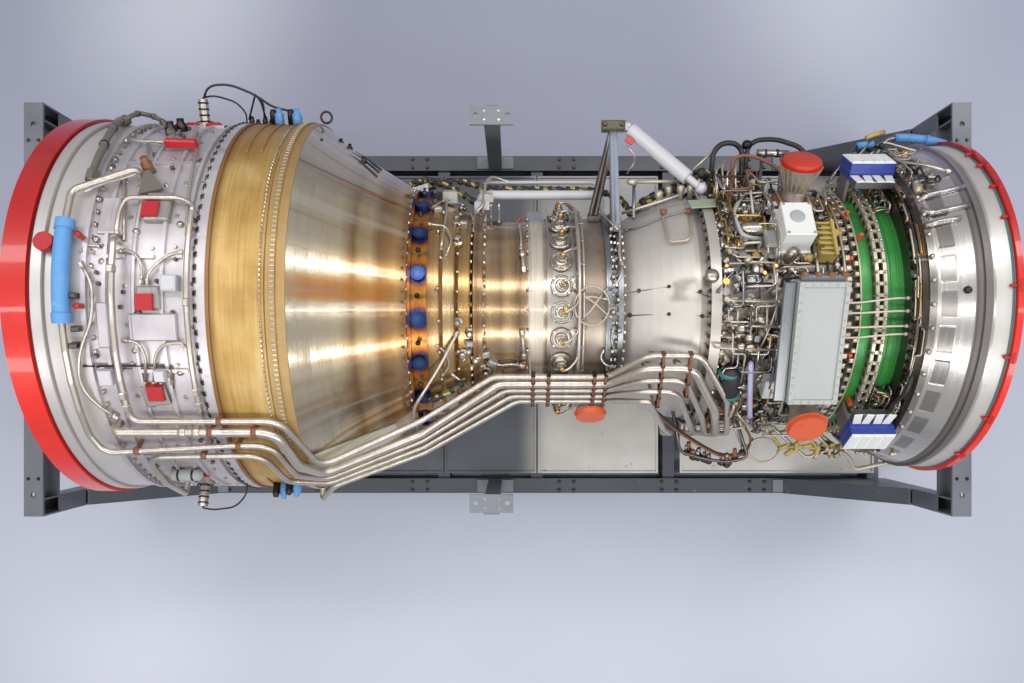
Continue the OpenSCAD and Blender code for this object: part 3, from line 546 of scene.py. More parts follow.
def heat_tint(name, stops, section, rough, marks, dark=(92, 70, 50)):
    """Turned steel whose colour runs along the shaft as heat left it."""
    s = Shader(name)
    angle, radius = s.angle(), s.radius()
    along = (s.x - section.x0) / section.length
    wander = s.noise(2.5, 4, s.combine(s.x * 2, angle / 40, radius)) - 0.5
    lines = turned_lines(s, 200)
    broad = s.noise(1.0, 3, s.combine(s.x * 26, angle / 200, radius))
    s.base = s.ramp(along + wander * 0.10, stops)
    s.over(lines.ramp(0.35, 0.7) * marks * 0.5, *dark)
    s.over(broad.ramp(0.5, 0.75) * marks * 0.5, *dark)
    grey = s.noise(3.0, 5, s.combine(s.x, angle / 50, radius)).ramp(0.5, 0.8)
    s.over(grey * 0.4, 196, 188, 176)
    return s, lines, broad, rough + (lines - 0.5) * 0.18 + (broad - 0.5) * 0.12


def cone_metal():
    """Heat tinted steel: silver brown at the wide end, amber rings at the narrow end."""
    stops = [(0.0, 192, 180, 158), (0.22, 188, 175, 150), (0.40, 190, 174, 142),
             (0.47, 166, 142, 104), (0.52, 132, 102, 66), (0.57, 182, 152, 106),
             (0.66, 188, 164, 122), (0.74, 144, 108, 66), (0.81, 164, 120, 66),
             (0.89, 184, 144, 86), (1.0, 138, 96, 52)]
    s, lines, _, rough = heat_tint("cone_heat_tint", stops, cone, 0.22, 0.3)
    angle, radius = s.angle(), s.radius()
    pale = s.y.ramp(0.25, 0.6) * (1 - s.x.ramp(-0.62, -0.5))
    s.over(pale * 0.5, 200, 190, 170)
    amber = angle.band(-3.2, 4.0, 1.4) * s.x.band(-0.90, -0.48, 0.08)
    s.over(amber * 0.75, 196, 124, 40)
    edge = angle + 53 + (s.x + 0.9) * 25
    panel = (1 - edge.ramp(-0.5, 0.3)) * s.x.band(-0.93, -0.52, 0.01)
    s.over(panel * 0.85, 222, 222, 192)
    s.over(edge.band(0.0, 1.4, 0.5) * s.x.band(-0.93, -0.5, 0.02) * 0.6, 84, 62, 40)
    rust = angle.band(-46, -30, 4) * s.x.band(-0.78, -0.47, 0.05) * s.noise(7, 5).ramp(0.35, 0.6)
    s.over(rust * 0.6, 112, 74, 48)
    seam = s.math("ABSOLUTE", s.y - (0.62 - (s.x + 0.9) * 0.36)).ramp(0.0, 0.012)
    s.over((1 - seam) * s.z.ramp(1.5, 1.8) * 0.6, 86, 60, 36)
    streak = s.noise(1.0, 4, s.combine(s.x * 0.6, angle / 3.2, radius * 0.2))
    s.over(streak.ramp(0.5, 0.7) * 0.45, 150, 104, 60)
    s.over((1 - streak.ramp(0.3, 0.45)) * 0.3, 222, 214, 200)
    rough = rough + streak * 0.06 - 0.02 + panel * 0.2
    return s.surface(rough, 0.82 - panel * 0.4, s.bump(lines, 0.0001, 0.6), 1.0, 0.05)


def boss_tint():
    """Heat colours that run out from each boss: blue, violet, orange, straw."""
    s = Shader("boss_heat_colours")
    angle = s.angle()
    pitch = 20.0
    from_boss = s.math("FRACT", (angle + 180) / pitch) - 0.5
    across = from_boss * pitch * (math.pi / 180) * bosses.r
    along = s.x - (bosses.x0 + bosses.length * 0.56)
    away = s.math("SQRT", across * across + along * along) / 0.125
    wobble = (s.noise(22, 5) - 0.5) * 0.30
    s.base = s.ramp(away + wobble, [
        (0.0, 72, 96, 132), (0.22, 40, 66, 118), (0.34, 58, 56, 96),
        (0.44, 112, 70, 60), (0.56, 184, 104, 36), (0.78, 190, 134, 66),
        (1.0, 120, 88, 54)])
    lines = turned_lines(s, 150)
    s.over(lines.ramp(0.4, 0.8) * 0.3, 60, 46, 40)
    return s.surface(0.28 + (lines - 0.5) * 0.2, 0.85, s.bump(lines, 0.0004))


def turbine_metal():
    stops = [(0.0, 150, 110, 64), (0.18, 186, 148, 96), (0.4, 196, 166, 116),
             (0.6, 162, 122, 70), (0.8, 190, 152, 94), (1.0, 138, 100, 58)]
    s, lines, broad, rough = heat_tint("turbine_heat_tint", stops, turbine, 0.26, 0.6)
    return s.surface(rough, 0.85, s.bump(lines * 0.5 + broad * 0.5, 0.0004), 0.5, 0.06)


def waist_metal():
    stops = [(0.0, 146, 114, 78), (0.15, 192, 158, 114), (0.32, 152, 122, 88),
             (0.45, 206, 174, 128), (0.58, 142, 114, 82), (0.7, 178, 148, 112),
             (0.76, 214, 204, 188), (0.92, 210, 197, 177), (1.0, 166, 138, 104)]
    s, lines, broad, rough = heat_tint("waist_heat_tint", stops, waist, 0.19, 0.6, (96, 76, 58))
    pale = s.x.band(waist.x0 + waist.length * 0.74, waist.x1 - 0.02, 0.01)
    rough = rough + pale * 0.16
    return s.surface(rough + 0.04, 0.86 - pale * 0.3, s.bump(lines * 0.4 + broad * 0.6, 0.0004), 0.6, 0.05)


def combustor_metal():
    s = Shader("combustor_satin_metal")
    lines = turned_lines(s, 130)
    cloud = s.noise(5, 5)
    s.base = srgb(176, 164, 150)
    s.over(cloud.ramp(0.35, 0.7) * 0.7, 126, 108, 92)
    s.over(s.noise(18, 6).ramp(0.6, 0.75) * 0.4, 104, 80, 60)
    return s.surface(0.4 + (lines - 0.5) * 0.2, 0.8, s.bump(lines, 0.0005))


def compressor_metal():
    """Pale cast casing, blasted, with machined bands near both flanges."""
    s = Shader("compressor_satin_metal")
    lines = turned_lines(s, 90)
    cloud = s.noise(3.5, 5)
    s.base = srgb(197, 191, 184)
    s.over(cloud.ramp(0.4, 0.75) * 0.35, 170, 162, 153)
    machined = 1 - s.x.band(0.68, 0.965, 0.012)
    s.over(machined * 0.35, 172, 163, 152)
    s.over(s.noise(11, 6).ramp(0.6, 0.8) * 0.25, 160, 144, 124)
    smudge = s.x.band(0.83, 0.99, 0.03) * s.y.band(-0.02, 0.09, 0.02) * s.noise(9, 4).ramp(0.35, 0.6)
    s.over(smudge * 0.6, 110, 98, 88)
    dark = s.x.band(0.99, 1.028, 0.006)
    s.over(dark * 0.6, 96, 88, 80)
    grain = s.noise(420, 2)
    rough = 0.44 - machined * 0.1 + (cloud - 0.5) * 0.16
    return s.surface(rough, 0.5, s.bump(grain * (1 - machined) + lines * machined, 0.0004))


def vane_paint():
    """Two green bands, rubbed in places, on a dark case."""
    s = Shader("vane_case_green")
    green = s.mix(s.noise(6, 5).ramp(0.4, 0.7) * 0.6, srgb(50, 138, 56), srgb(28, 92, 36))
    bare = s.mix(s.noise(14, 4).ramp(0.45, 0.7) * 0.6, srgb(84, 76, 66), srgb(46, 40, 36))
    mask = s.x.band(vanes.x0 + 0.070, vanes.x0 + 0.126) + s.x.band(vanes.x0 + 0.182, vanes.x1 + 0.01)
    rub = s.noise(34, 5).ramp(0.62, 0.7)
    s.base = s.mix(mask, bare, s.mix(rub * 0.3, green, srgb(120, 150, 120)))
    return s.surface(0.3 + s.noise(7, 4) * 0.2, 0.25, s.bump(s.noise(90, 3), 0.0006), 0.25, 0.2)


def intake_metal():
    """Polished bell: tall pockets in a row, a brushed field, then a turned lip."""
    s = Shader("intake_polished_metal")
    angle, radius = s.angle(), s.radius()
    lines = turned_lines(s, 110)
    cloud = s.noise(3.0, 5)
    s.base = srgb(198, 194, 189)
    s.over(cloud.ramp(0.4, 0.72) * 0.45, 158, 151, 144)
    outside = radius.ramp(0.76, 0.775)
    pocket_row = s.x.band(2.040, 2.100, 0.004)
    pitch = 360 / 31
    pocket = s.math("FRACT", (angle + 178 + pitch * 20.5) / pitch).band(0.12, 0.86, 0.03)
    pocket = pocket * pocket_row * outside
    # painted shade: the pockets are darkened where they sink into the bell
    s.over(pocket * 0.65, 116, 108, 103)
    strap = s.x.band(2.170, 2.240, 0.004) * outside
    s.over(strap * 0.85, 80, 72, 69)
    s.over(s.x.band(2.170, 2.184, 0.003) * outside * 0.5, 60, 54, 52)
    near_flange = s.x.band(1.98, 2.024, 0.003)
    s.over(near_flange * 0.6, 104, 96, 90)
    # painted highlight: a pale lilac sheen laid over the far side of the bell
    lilac = s.y.ramp(0.3, 0.7) * s.x.band(1.98, 2.22, 0.05)
    s.over(lilac * 0.35, 190, 186, 214)
    s.over(s.noise(16, 6).ramp(0.62, 0.8) * 0.3, 140, 126, 112)
    lip = s.x.ramp(2.246, 2.256) * outside
    rough = 0.26 + (lines - 0.5) * 0.16 + (cloud - 0.5) * 0.14 + strap * 0.2 + lip * 0.16
    height = lines * 0.06 - pocket * 1.0 + (cloud - 0.5) * 0.25
    return s.surface(rough, 0.85 - strap * 0.5 - lip * 0.35, s.bump(height, 0.003, 0.7))


def sheet_metal():
    """Trays under the casing: dull sheet, cream towards the intake, with drips and footmarks."""
    s = Shader("tray_dull_sheet")
    cloud = s.noise(2.0, 6)
    warm = s.x.ramp(0.1, 0.35)
    s.base = srgb(92, 95, 103)
    s.over(warm, 206, 203, 198)
    s.over(cloud.ramp(0.4, 0.7) * 0.4, s.mix(warm, srgb(84, 88, 96), srgb(168, 160, 146)))
    s.over(s.y.ramp(0.35, 0.6) * 0.5, 98, 100, 106)
    drip = s.cells(9.0).ramp(0.06, 0.14)
    s.over((1 - drip) * 0.35, 110, 92, 70)
    return s.surface(0.5 + (cloud - 0.5) * 0.3, 0.25, s.bump(cloud, 0.004, 0.4))


def cap_paint():
    """Blanking caps: deep red at the far side, orange at the near side; the cones under them are bare."""
    s = Shader("cap_red")
    up = s.z - SHAFT_Z
    red, orange = srgb(190, 50, 30), srgb(212, 94, 56)
    painted = drum_tags = 1 - s.x.ramp(-1.0, -0.9)
    for degrees, seat_r, x0, x1 in ((49, 0.857, 1.2, 1.8), (-49, 0.823, 1.2, 1.8), (-66, 0.619, 0.2, 0.8)):
        a = math.radians(degrees)
        height = s.y * math.sin(a) + up * math.cos(a)
        painted = painted + height.ramp(seat_r - 0.001, seat_r + 0.001) * s.x.band(x0, x1)
    s.base = s.mix(s.y.ramp(-0.3, 0.3), orange, red)
    s.over(drum_tags, 172, 26, 32)
    s.over(s.noise(20, 5).ramp(0.55, 0.75) * 0.3, 150, 50, 34)
    bare = s.mix(s.noise(9, 4).ramp(0.35, 0.7), srgb(226, 221, 214), srgb(166, 156, 144))
    s.base = s.mix(painted, bare, s.base)
    metallic = (1 - painted) * 0.85
    return s.surface(0.4 + s.noise(9, 4) * 0.15, metallic, s.bump(s.noise(120, 3), 0.0005, 0.4))


def braid_blue():
    """Blue sleeve with fine ribs along the hose."""
    s = Shader("sleeve_blue")
    angle = s.angle()
    weave = s.math("SINE", angle * 14) * 0.5 + 0.5
    s.base = srgb(96, 154, 210)
    s.over(weave * 0.25, 58, 110, 170)
    s.over(s.noise(20, 5).ramp(0.55, 0.75) * 0.4, 150, 190, 220)
    return s.surface(0.5, 0.0, s.bump(weave, 0.0006))


def block_paint():
    """Blocks on the accessory casing: a white box, a yellow bracket, two navy boxes with pale tops."""
    s = Shader("block_paints")
    angle = s.angle()
    wear = s.noise(18, 5).ramp(0.55, 0.72)
    white = s.mix(wear * 0.4, srgb(226, 226, 220), srgb(150, 146, 138))
    yellow = s.mix(wear * 0.5, srgb(176, 152, 80), srgb(104, 88, 54))
    navy = s.mix(wear * 0.3, srgb(26, 52, 140), srgb(60, 84, 150))
    outer = s.math("ABSOLUTE", angle).ramp(42, 43)
    lean = math.radians(NAVY_ANGLE)
    height = (s.z - SHAFT_Z) * math.cos(lean) + s.math("ABSOLUTE", s.y) * math.sin(lean)
    top = height.ramp(NAVY_TOP - 0.006, NAVY_TOP - 0.003)
    s.base = s.mix(s.x.ramp(1.512, 1.516), white, yellow)
    legs = 1 - height.ramp(0.753, 0.757)
    s.over(outer, s.mix(legs, s.mix(top, navy, srgb(232, 234, 236)), srgb(104, 98, 92)))
    return s.surface(0.4 + s.noise(9, 4) * 0.15, 0.0, s.bump(s.noise(90, 3), 0.0006, 0.4), 0.1)


def stand_paint():
    """Stand: dark grey paint on the rails, a paler coat on the two end frames."""
    s = Shader("stand_dark_paint")
    cloud = s.noise(3, 5)
    ends = s.math("ABSOLUTE", s.x).ramp(2.50, 2.53)
    s.base = srgb(68, 72, 81)
    s.over(ends, 104, 107, 115)
    s.over(cloud.ramp(0.4, 0.7) * 0.35, 50, 53, 60)
    s.over(s.noise(26, 6).ramp(0.66, 0.74) * 0.4, 128, 130, 136)
    return s.surface(0.42 + (cloud - 0.5) * 0.2, 0.0, s.bump(s.noise(140, 3), 0.0005, 0.5), 0.1)


def leg_metal():
    """Bracket legs of one steel with painted light and shade: the one on the hot side painted dark as shade,
    the other painted pale as lit steel.
    """
    s = Shader("leg_metal")
    cloud = s.noise(6, 5)
    # painted shade on the leg towards the hot side, painted light on the pale leg past x 0.6
    s.base = srgb(84, 74, 68)
    s.over(s.x.ramp(0.575, 0.605), 186, 194, 204)
    s.over(cloud.ramp(0.45, 0.7) * 0.4, 116, 108, 100)
    return s.surface(0.32 + (cloud - 0.5) * 0.2, 0.7, s.bump(cloud, 0.0006))


FINISHES = {
    "legs": leg_metal(),
    "blocks": block_paint(),
    "ring_red": red_gloss(),
    "rear": rear_metal(),
    "drum": drum_metal(),
    "gold": gold_finish(),
    "cone": cone_metal(),
    "bosses": boss_tint(),
    "turbine": turbine_metal(),
    "waist": waist_metal(),
    "combustor": combustor_metal(),
    "compressor": compressor_metal(),
    "vane_green": vane_paint(),
    "intake": intake_metal(),
    "tray": sheet_metal(),
    "cap": cap_paint(),
    "sleeve": braid_blue(),
    "stand": stand_paint(),
    "plate": paint("plate_grey_paint", srgb(122, 126, 132), 0.45, 0.0, 0.4),
    "pale": paint("lid_pale_paint", srgb(222, 222, 218), 0.4, 0.1, 0.15),
    "white": paint("strut_white_paint", srgb(198, 196, 200), 0.35, 0.2, 0.3),
    "box": paint("box_grey_sheet", srgb(166, 168, 165), 0.5, 0.0, 0.3),
    "flange": metal("flange_dark_metal", srgb(114, 108, 102), 0.36, 0.4),
    "steel": metal("pipe_satin_metal", srgb(206, 197, 186), 0.34, 0.4, 0.85, 40, 0.0002),
    "blade": metal("blade_satin_metal", srgb(150, 146, 140), 0.34, 0.4),
    "nozzle": metal("nozzle_bright_metal", srgb(190, 182, 172), 0.30, 0.5),
    "cast": metal("cast_housing_metal", srgb(168, 166, 160), 0.45, 0.45, 0.7, 60, 0.0010),
    "accessory": metal("accessory_dark_metal", srgb(136, 130, 124), 0.4, 0.6, 0.8, 70, 0.0008),
    "lever": metal("lever_cream_metal", srgb(198, 188, 168), 0.36, 0.5, 0.6),
    "bracket": metal("bracket_grey_metal", srgb(142, 144, 146), 0.34, 0.35),
    "bolt": metal("bolt_bright_metal", srgb(196, 190, 180), 0.28, 0.45, density=300),
    "bolt_dark": metal("bolt_dark_metal", srgb(72, 66, 62), 0.36, 0.4, density=300),
    "brass": metal("fitting_brass_metal", srgb(206, 164, 92), 0.28, 0.4),
    "rubber": paint("hose_black_rubber", srgb(34, 33, 34), 0.5, 0.0, 0.5),
    "grey_hose": paint("hose_grey_cover", srgb(108, 102, 92), 0.5, 0.0, 0.4),
    "brown": paint("clamp_brown_band", srgb(128, 82, 58), 0.5, 0.0, 0.4),
    "olive": paint("bracket_olive_paint", srgb(92, 86, 58), 0.5, 0.0, 0.5),
    "navy": paint("box_navy_paint", srgb(28, 50, 132), 0.35, 0.15, 0.3),
    "yellow": paint("bracket_yellow_paint", srgb(178, 154, 82), 0.42, 0.1, 0.45),
    "tag_red": paint("tag_red_paint", srgb(176, 26, 30), 0.42, 0.1, 0.3),
    "lever_gold": paint("rib_ochre_coat", srgb(150, 104, 52), 0.42, 0.0, 0.3),
    "teal": paint("gasket_teal", srgb(56, 112, 110), 0.5, 0.0, 0.3),
    "sage": paint("pad_sage_cover", srgb(150, 158, 138), 0.5, 0.0, 0.4),
    "lilac": paint("post_lilac_sleeve", srgb(176, 172, 206), 0.35, 0.1, 0.3),
    "tag_orange": paint("plug_orange_paint", srgb(218, 84, 44), 0.45, 0.0, 0.3),
}

NODE_FINISH = {
    "exhaust_ring": "ring_red", "exhaust_casing": "rear", "exhaust_vanes": "blade", "tail_cone": "blade",
    "drum_casing": "drum", "gold_band": "gold", "hot_cone": "cone", "boss_ring": "bosses",
    "turbine_casing": "turbine", "waist_casing": "waist", "fuel_nozzles": "nozzle",
    "combustor_casing": "combustor", "middle_flange": "bracket", "compressor_casing": "compressor",
    "accessory_casing": "accessory", "vane_casing": "vane_green", "unison_rings": "lever",
    "intake_flange": "flange", "intake_casing": "intake", "intake_vanes": "blade", "nose_cone": "blade",
    "intake_ring": "ring_red", "gearbox": "cast", "control_box": "box", "valve_blocks": "blocks",
    "blanking_caps": "cap", "sensor_stubs": "steel", "mount_bracket": "legs", "mount_strut": "white",
    "hose_sleeve": "sleeve", "drum_pipes": "steel", "drum_tube": "steel", "pipe_bundle": "steel",
    "bleed_pipes": "white", "floor_trays": "tray", "side_pad_near": "plate", "side_pad_far": "plate",
}


def dress_nodes():
    for name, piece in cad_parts.items():
        finish = FINISHES[NODE_FINISH.get(name, "stand")]
        piece.data.materials.clear()
        piece.data.materials.append(finish)


dress_nodes()


# Places named by a pixel of the picture, put on the casing under it

SKIN = [(-2.125, 1.0), (-2.02, 1.0), (-2.0, 0.985), (-1.951, 0.985), (-1.95, 0.968), (-1.791, 0.968),
        (-1.79, 0.958), (-1.251, 0.958), (-1.25, 0.974), (-0.99, 0.974), (-0.985, 0.984), (-0.906, 0.984),
        (-0.905, 0.93), (-0.42, 0.64), (-0.419, 0.616), (-0.331, 0.616), (-0.33, 0.6), (-0.091, 0.502),
        (-0.09, 0.48), (0.254, 0.48), (0.255, 0.492), (0.545, 0.49), (0.546, 0.524), (0.629, 0.524),
        (0.63, 0.45), (0.73, 0.508), (0.83, 0.556), (0.93, 0.588), (1.029, 0.6), (1.03, 0.64),
        (1.079, 0.64), (1.08, 0.596), (1.669, 0.596), (1.67, 0.61), (1.741, 0.61), (1.742, 0.636),
        (1.794, 0.636), (1.795, 0.61), (1.851, 0.61), (1.852, 0.65), (1.939, 0.65), (1.94, 0.75),
        (1.989, 0.75), (1.99, 0.79), (2.03, 0.79), (2.105, 0.82), (2.18, 0.845), (2.255, 0.862),
        (2.329, 0.868), (2.33, 0.89), (2.358, 0.89)]


def skin(x):
    return float(np.interp(x, [p[0] for p in SKIN], [p[1] for p in SKIN]))


def spot(px, py, lift=0.0):
    """Station, angle and radius of the casing under a pixel, raised by lift."""
    k = (AIM_PIXEL[1] - py) / FOCAL_PX
    high_up = EYE.z - SHAFT_Z
    b = high_up - EYE.y * k
    a = 1 + k * k
    x = EYE.x + (px - AIM_PIXEL[0]) * 0.0045
    for _ in range(8):
        r = skin(x) + lift
        room = b * b - a * (EYE.y ** 2 + high_up ** 2 - r * r)
        depth = (b - math.sqrt(max(0.0, room))) / a
        x = (x + EYE.x + (px - AIM_PIXEL[0]) * depth / FOCAL_PX) / 2
    angle = math.degrees(math.atan2(EYE.y + k * depth, high_up - depth))
    return x, angle, skin(x) + lift


def at(px, py, lift=0.0, spin=0.0):
    """Frame that stands on the casing under a pixel."""
    return seat(*spot(px, py, lift)) @ turn("Z", spin)


def run(rows, bend=0.03):
    """Route over the casings through pixels with a lift in millimetres."""
    return wrapped([spot(px, py, lift / 1000) for px, py, lift in rows], bend)


def level(px, py, z):
    """Point at a height that shows at a pixel."""
    depth = EYE.z - z
    return Vector((EYE.x + (px - AIM_PIXEL[0]) * depth / FOCAL_PX,
                   EYE.y + (AIM_PIXEL[1] - py) * depth / FOCAL_PX, z))


def levels(*points):
    return [level(*p) for p in points]


def feet(lift, *pixels):
    return [at(px, py, lift) for px, py in pixels]


class Kit:
    """Parts of one region, one mesh for each finish."""

    def __init__(self, region):
        self.region, self.sets = region, {}

    def __getitem__(self, finish):
        return self.sets.setdefault(finish, Parts())

    def blocks(self, *rows):
        for finish, place, size, chamfer in rows:
            self[finish].block(place, size, chamfer)

    def turned(self, finish, places, steps, sides=8, smooth=True):
        self[finish].stamp(*lathe(steps, sides), places, smooth)

    def pipe(self, finish, radius, points, bend=0.0, sides=8):
        """Tube through points, with round bends where a bend is given."""
        self[finish].tube(rounded(points, bend) if bend else points, radius, sides)

    def hoop(self, finish, radius, x, r, steps):
        """Thin ring right round a casing."""
        self[finish].tube([on(x, t, r) for t in np.linspace(0, 360, steps)], radius, 8, False)

    def lines(self, finish, radius, rows, bend=0.03, ends=True):
        """Tube over the casings through pixels, its radius in millimetres, with a union nut at each end."""
        path = run(rows, bend)
        self.pipe(finish, radius / 1000, path)
        if ends:
            self.nut(finish, path[0], path[1], radius / 1000)
            self.nut(finish, path[-1], path[-2], radius / 1000)
        return path

    def routes(self, *tubes, ends=True):
        """Several such tubes: finish, radius, bend, then pixels with their lifts."""
        for finish, radius, bend, *rows in tubes:
            self.lines(finish, radius, rows, bend, ends)

    def nut(self, finish, place, towards, radius, length=2.6, wide=1.7):
        """Union nut on a tube, with a collar behind it."""
        steps = [(wide * 0.8 * radius, -0.2 * radius), (wide * radius, 0.2 * radius),
                 (wide * radius, length * radius), (wide * 0.7 * radius, (length + 0.8) * radius)]
        self.turned(finish, [facing(place, towards - place)], steps, 6, False)

    def clips(self, finish, path, every, radius):
        """Saddle clamps at even steps along a path."""
        walked, wanted = 0.0, every / 2
        steps = [(1.25 * radius, -0.9 * radius), (1.5 * radius, -0.7 * radius),
                 (1.5 * radius, 0.7 * radius), (1.25 * radius, 0.9 * radius)]
        for a, b in zip(path, path[1:]):
            walked += (b - a).length
            if walked >= wanted:
                wanted += every
                self.turned(finish, [facing(b, b - a)], steps, 10)

    def done(self):
        for finish, parts in self.sets.items():
            parts.build(f"{self.region}_{finish}", FINISHES[finish], SLOTS.get(finish, "pipe_steel"))


SLOTS = {
    "bolt": "pipe_steel", "bolt_dark": "dark_flange", "rubber": "dark_flange", "grey_hose": "casing_steel",
    "brown": "amber_steel", "olive": "stand_steel", "navy": "stand_steel", "yellow": "gold_coat",
    "tag_red": "red_caps", "teal": "green_paint", "white": "white_paint", "box": "box_sheet",
    "cast": "cast_housing", "brass": "gold_coat", "lever": "lever_metal", "bracket": "plate_steel",
    "flange": "dark_flange", "drum": "drum_steel", "stand": "stand_steel", "plate": "plate_steel",
    "nozzle": "casing_steel", "cap": "red_caps", "tray": "tray_sheet", "sleeve": "blue_sleeve",
    "sage": "box_sheet", "lilac": "box_sheet", "tag_orange": "red_caps", "lever_gold": "gold_coat",
    "vane_green": "green_paint", "ring_red": "red_paint", "intake": "polished_casing",
}


# Exhaust drum

def drum_lines():
    """Grey hoses and steel tubes over the drum, with the joints of its larger pipes."""
    kit = Kit("drum_lines")
    for radius, every, grip, rows in (
            (17, 0.19, 0.015, [(126, 118, 26), (112, 130, 36), (103, 148, 36), (96, 163, 34), (91, 180, 26)]),
            (12, 0.16, 0.0105, [(121, 124, 16), (129, 117, 50), (140, 113, 62), (152, 116, 58),
                                (162, 121, 46), (172, 134, 14)])):
        hose = kit.lines("grey_hose", radius, rows)
        kit.clips("flange", hose, every, grip)
    kit.routes(("steel", 7, 0.03, (125, 141, 12), (134, 141, 30), (172, 142, 34), (190, 140, 34),
                (196, 134, 30), (194, 124, 8)))
    kit.routes(
        ("steel", 8, 0.05, (139, 172, 50), (130, 176, 40), (100, 184, 34), (84, 192, 34)),
        ("steel", 7, 0.03, (148, 142, 16), (148, 152, 20), (146, 160, 22)), ends=False)
    link = [(TURN_X, 13.5, 0.956), (TURN_X, 13.5, 1.0), (TURN_X, 20, 1.004), (TURN_X + 0.02, 23.5, 1.004),
            (LOOP_X - 0.06, 23.5, 1.004), (LOOP_X, 21.5, 1.0), (LOOP_X, 19.4, 1.001)]
    kit.pipe("steel", 0.011, wrapped(link, 0.05), sides=10)
    kit.routes(("steel", 7, 0.05, (199, 135, 8), (195, 160, 22), (188, 200, 22), (187, 235, 18)))
    kit.routes(("steel", 7, 0.03, (125, 170, 10), (124, 210, 14), (124, 240, 12)), ends=False)
    kit.routes(
        ("steel", 8, 0.08, (80, 262, 16), (92, 283, 26), (93, 318, 28), (79, 352, 28), (80, 385, 26),
         (96, 404, 26), (118, 418, 14)),
        ("steel", 7, 0.05, (148, 284, 10), (147, 275, 22), (158, 262, 24), (170, 254, 22), (183, 252, 10)),
        ("steel", 7, 0.05, (141, 284, 10), (142, 266, 22), (136, 254, 24), (126, 250, 22), (118, 252, 12)),
        ("steel", 7, 0.05, (154, 386, 10), (155, 356, 22), (162, 345, 24), (182, 342, 22), (188, 352, 12)),
        ("steel", 7, 0.05, (145, 386, 10), (146, 356, 22), (138, 342, 24), (122, 340, 22)),
        ("steel", 6, 0.03, (162, 386, 10), (158, 372, 22), (170, 368, 22), (172, 384, 8)),
        ("steel", 5, 0.02, (100, 246, 10), (86, 245, 12), (80, 252, 12)))
    for x, wide, r, angles in ((TURN_X, 21, 1.019, (-27.5, -31.0, 4.0)),
                               (LOOP_X, 19, 1.001, (-27.0, -31.0, -4.0))):
        collars = [seat(x, a, r) @ turn("X", 90) for a in angles]
        kit.turned("steel", collars, barrel(wide * 0.75, 18, wide, 13), 6, False)
    for x in (-1.415, -1.351):
        kit.turned("steel", [seat(x, -38.5, 1.027) @ turn("Y", 90)], barrel(23, 18, 29, 14), 12)
    return kit


def drum_fittings():
    """Blocks, tags, studs and bolt rows on the skin of the drum."""
    kit = Kit("drum_fittings")
    gusset = [(-0.012, -0.075), (0.012, -0.075), (0.055, 0.055), (-0.055, 0.055)]
    verts = [(x, y, z) for z in (0, 0.012) for x, y in gusset]
    faces = [(3, 2, 1, 0), (4, 5, 6, 7), (0, 1, 5, 4), (1, 2, 6, 5), (2, 3, 7, 6), (3, 0, 4, 7)]
    kit["grey_hose"].stamp(verts, faces, [at(150, 184, 0.03, 200)])
    kit.turned("brown", [at(150, 172)], profile(24, 0, 26, 6, 26, 50, 18, 60, 18, 80))
    kit.blocks(
        ("cast", at(160, 209, 0.004), (0.11, 0.14, 0.03), 0.006),
        ("cast", at(150, 298, 0.004), (0.10, 0.10, 0.025), 0.006),
        ("cast", at(157, 394, 0.004, 8), (0.11, 0.10, 0.025), 0.006),
        ("white", at(172, 284, 0.004), (0.066, 0.070, 0.05), 0.006),
        ("drum", at(154, 327), (0.21, 0.12, 0.018), 0.005),
        ("drum", at(104, 325), (0.05, 0.2, 0.014), 0.005),
        ("drum", at(110, 216), (0.08, 0.18, 0.012), 0.005),
        ("white", at(108, 376, 0.02), (0.06, 0.07, 0.035), 0.005),
        ("white", at(162, 374, 0.02), (0.045, 0.05, 0.04), 0.005))
    kit.pipe("flange", 0.005, run([(83, 366, 8), (172, 366, 8), (174, 398, 8)], 0.02), sides=6)
    kit.blocks(("tag_red", at(182, 147, 0.02, -4), (0.15, 0.03, 0.04), 0.012))
    kit.turned("tag_red", feet(0.06, (78, 234), (77, 306)), profile(12, -60, 14, 0, 14, 12), 10)
    for place in feet(0, (80, 328), (78, 344), (76, 296)):
        kit["flange"].block(place, (0.034, 0.024, 0.05), 0.005)
    kit.turned("bolt_dark", feet(0, (172, 134), (182, 131)), stub(30, 30, 18, 40, 18, 60), 12)
    heads = [seat(x + rng.uniform(-0.006, 0.006), 10 * k + rng.uniform(-1, 1), drum.r - 0.022)
             for x in (-1.665, -1.60, -1.485, -1.395, -1.31) for k in range(36)]
    bolt(kit["bolt"], heads, 0.017)
    studs = [seat(rng.uniform(-1.76, -1.28), rng.uniform(-85, 85), DRUM_R) for _ in range(60)]
    kit.turned("flange", studs, stub(10, 12, 6, 16), 8, False)
    bosses_at = feet(0, (100, 200), (137, 232), (181, 225), (103, 262), (97, 240), (181, 372), (136, 350))
    kit.turned("nozzle", bosses_at, stub(15, 12, 10, 18), 10)
    flange_bolts(kit["bolt_dark"], -1.288, 0.970, 108, 0.030, -1)
    flange_bolts(kit["bolt"], -1.752, 0.968, 96, 0.020, 1)
    return kit


def drum_tank():
    """Small pale tank strapped low on the near side of the drum."""
    kit = Kit("drum_tank")
    x, a = -1.53, -61.0
    place = seat(x, a, DRUM_R + 0.034) @ turn("Y", 90)
    kit.turned("box", [place], barrel(0, 80, 18, 77, 29, 62), 20)
    for along in (-0.035, 0.035):
        kit.turned("bolt_dark", [place @ shift(0, 0, along)], barrel(30.5, 5), 20)
        kit["bracket"].block(seat(x + along, a, DRUM_R - 0.002), (0.016, 0.05, 0.03), 0.003)
    kit["tag_red"].block(seat(x + 0.05, -64.5, DRUM_R + 0.002), (0.08, 0.014, 0.02), 0.004)
    return kit


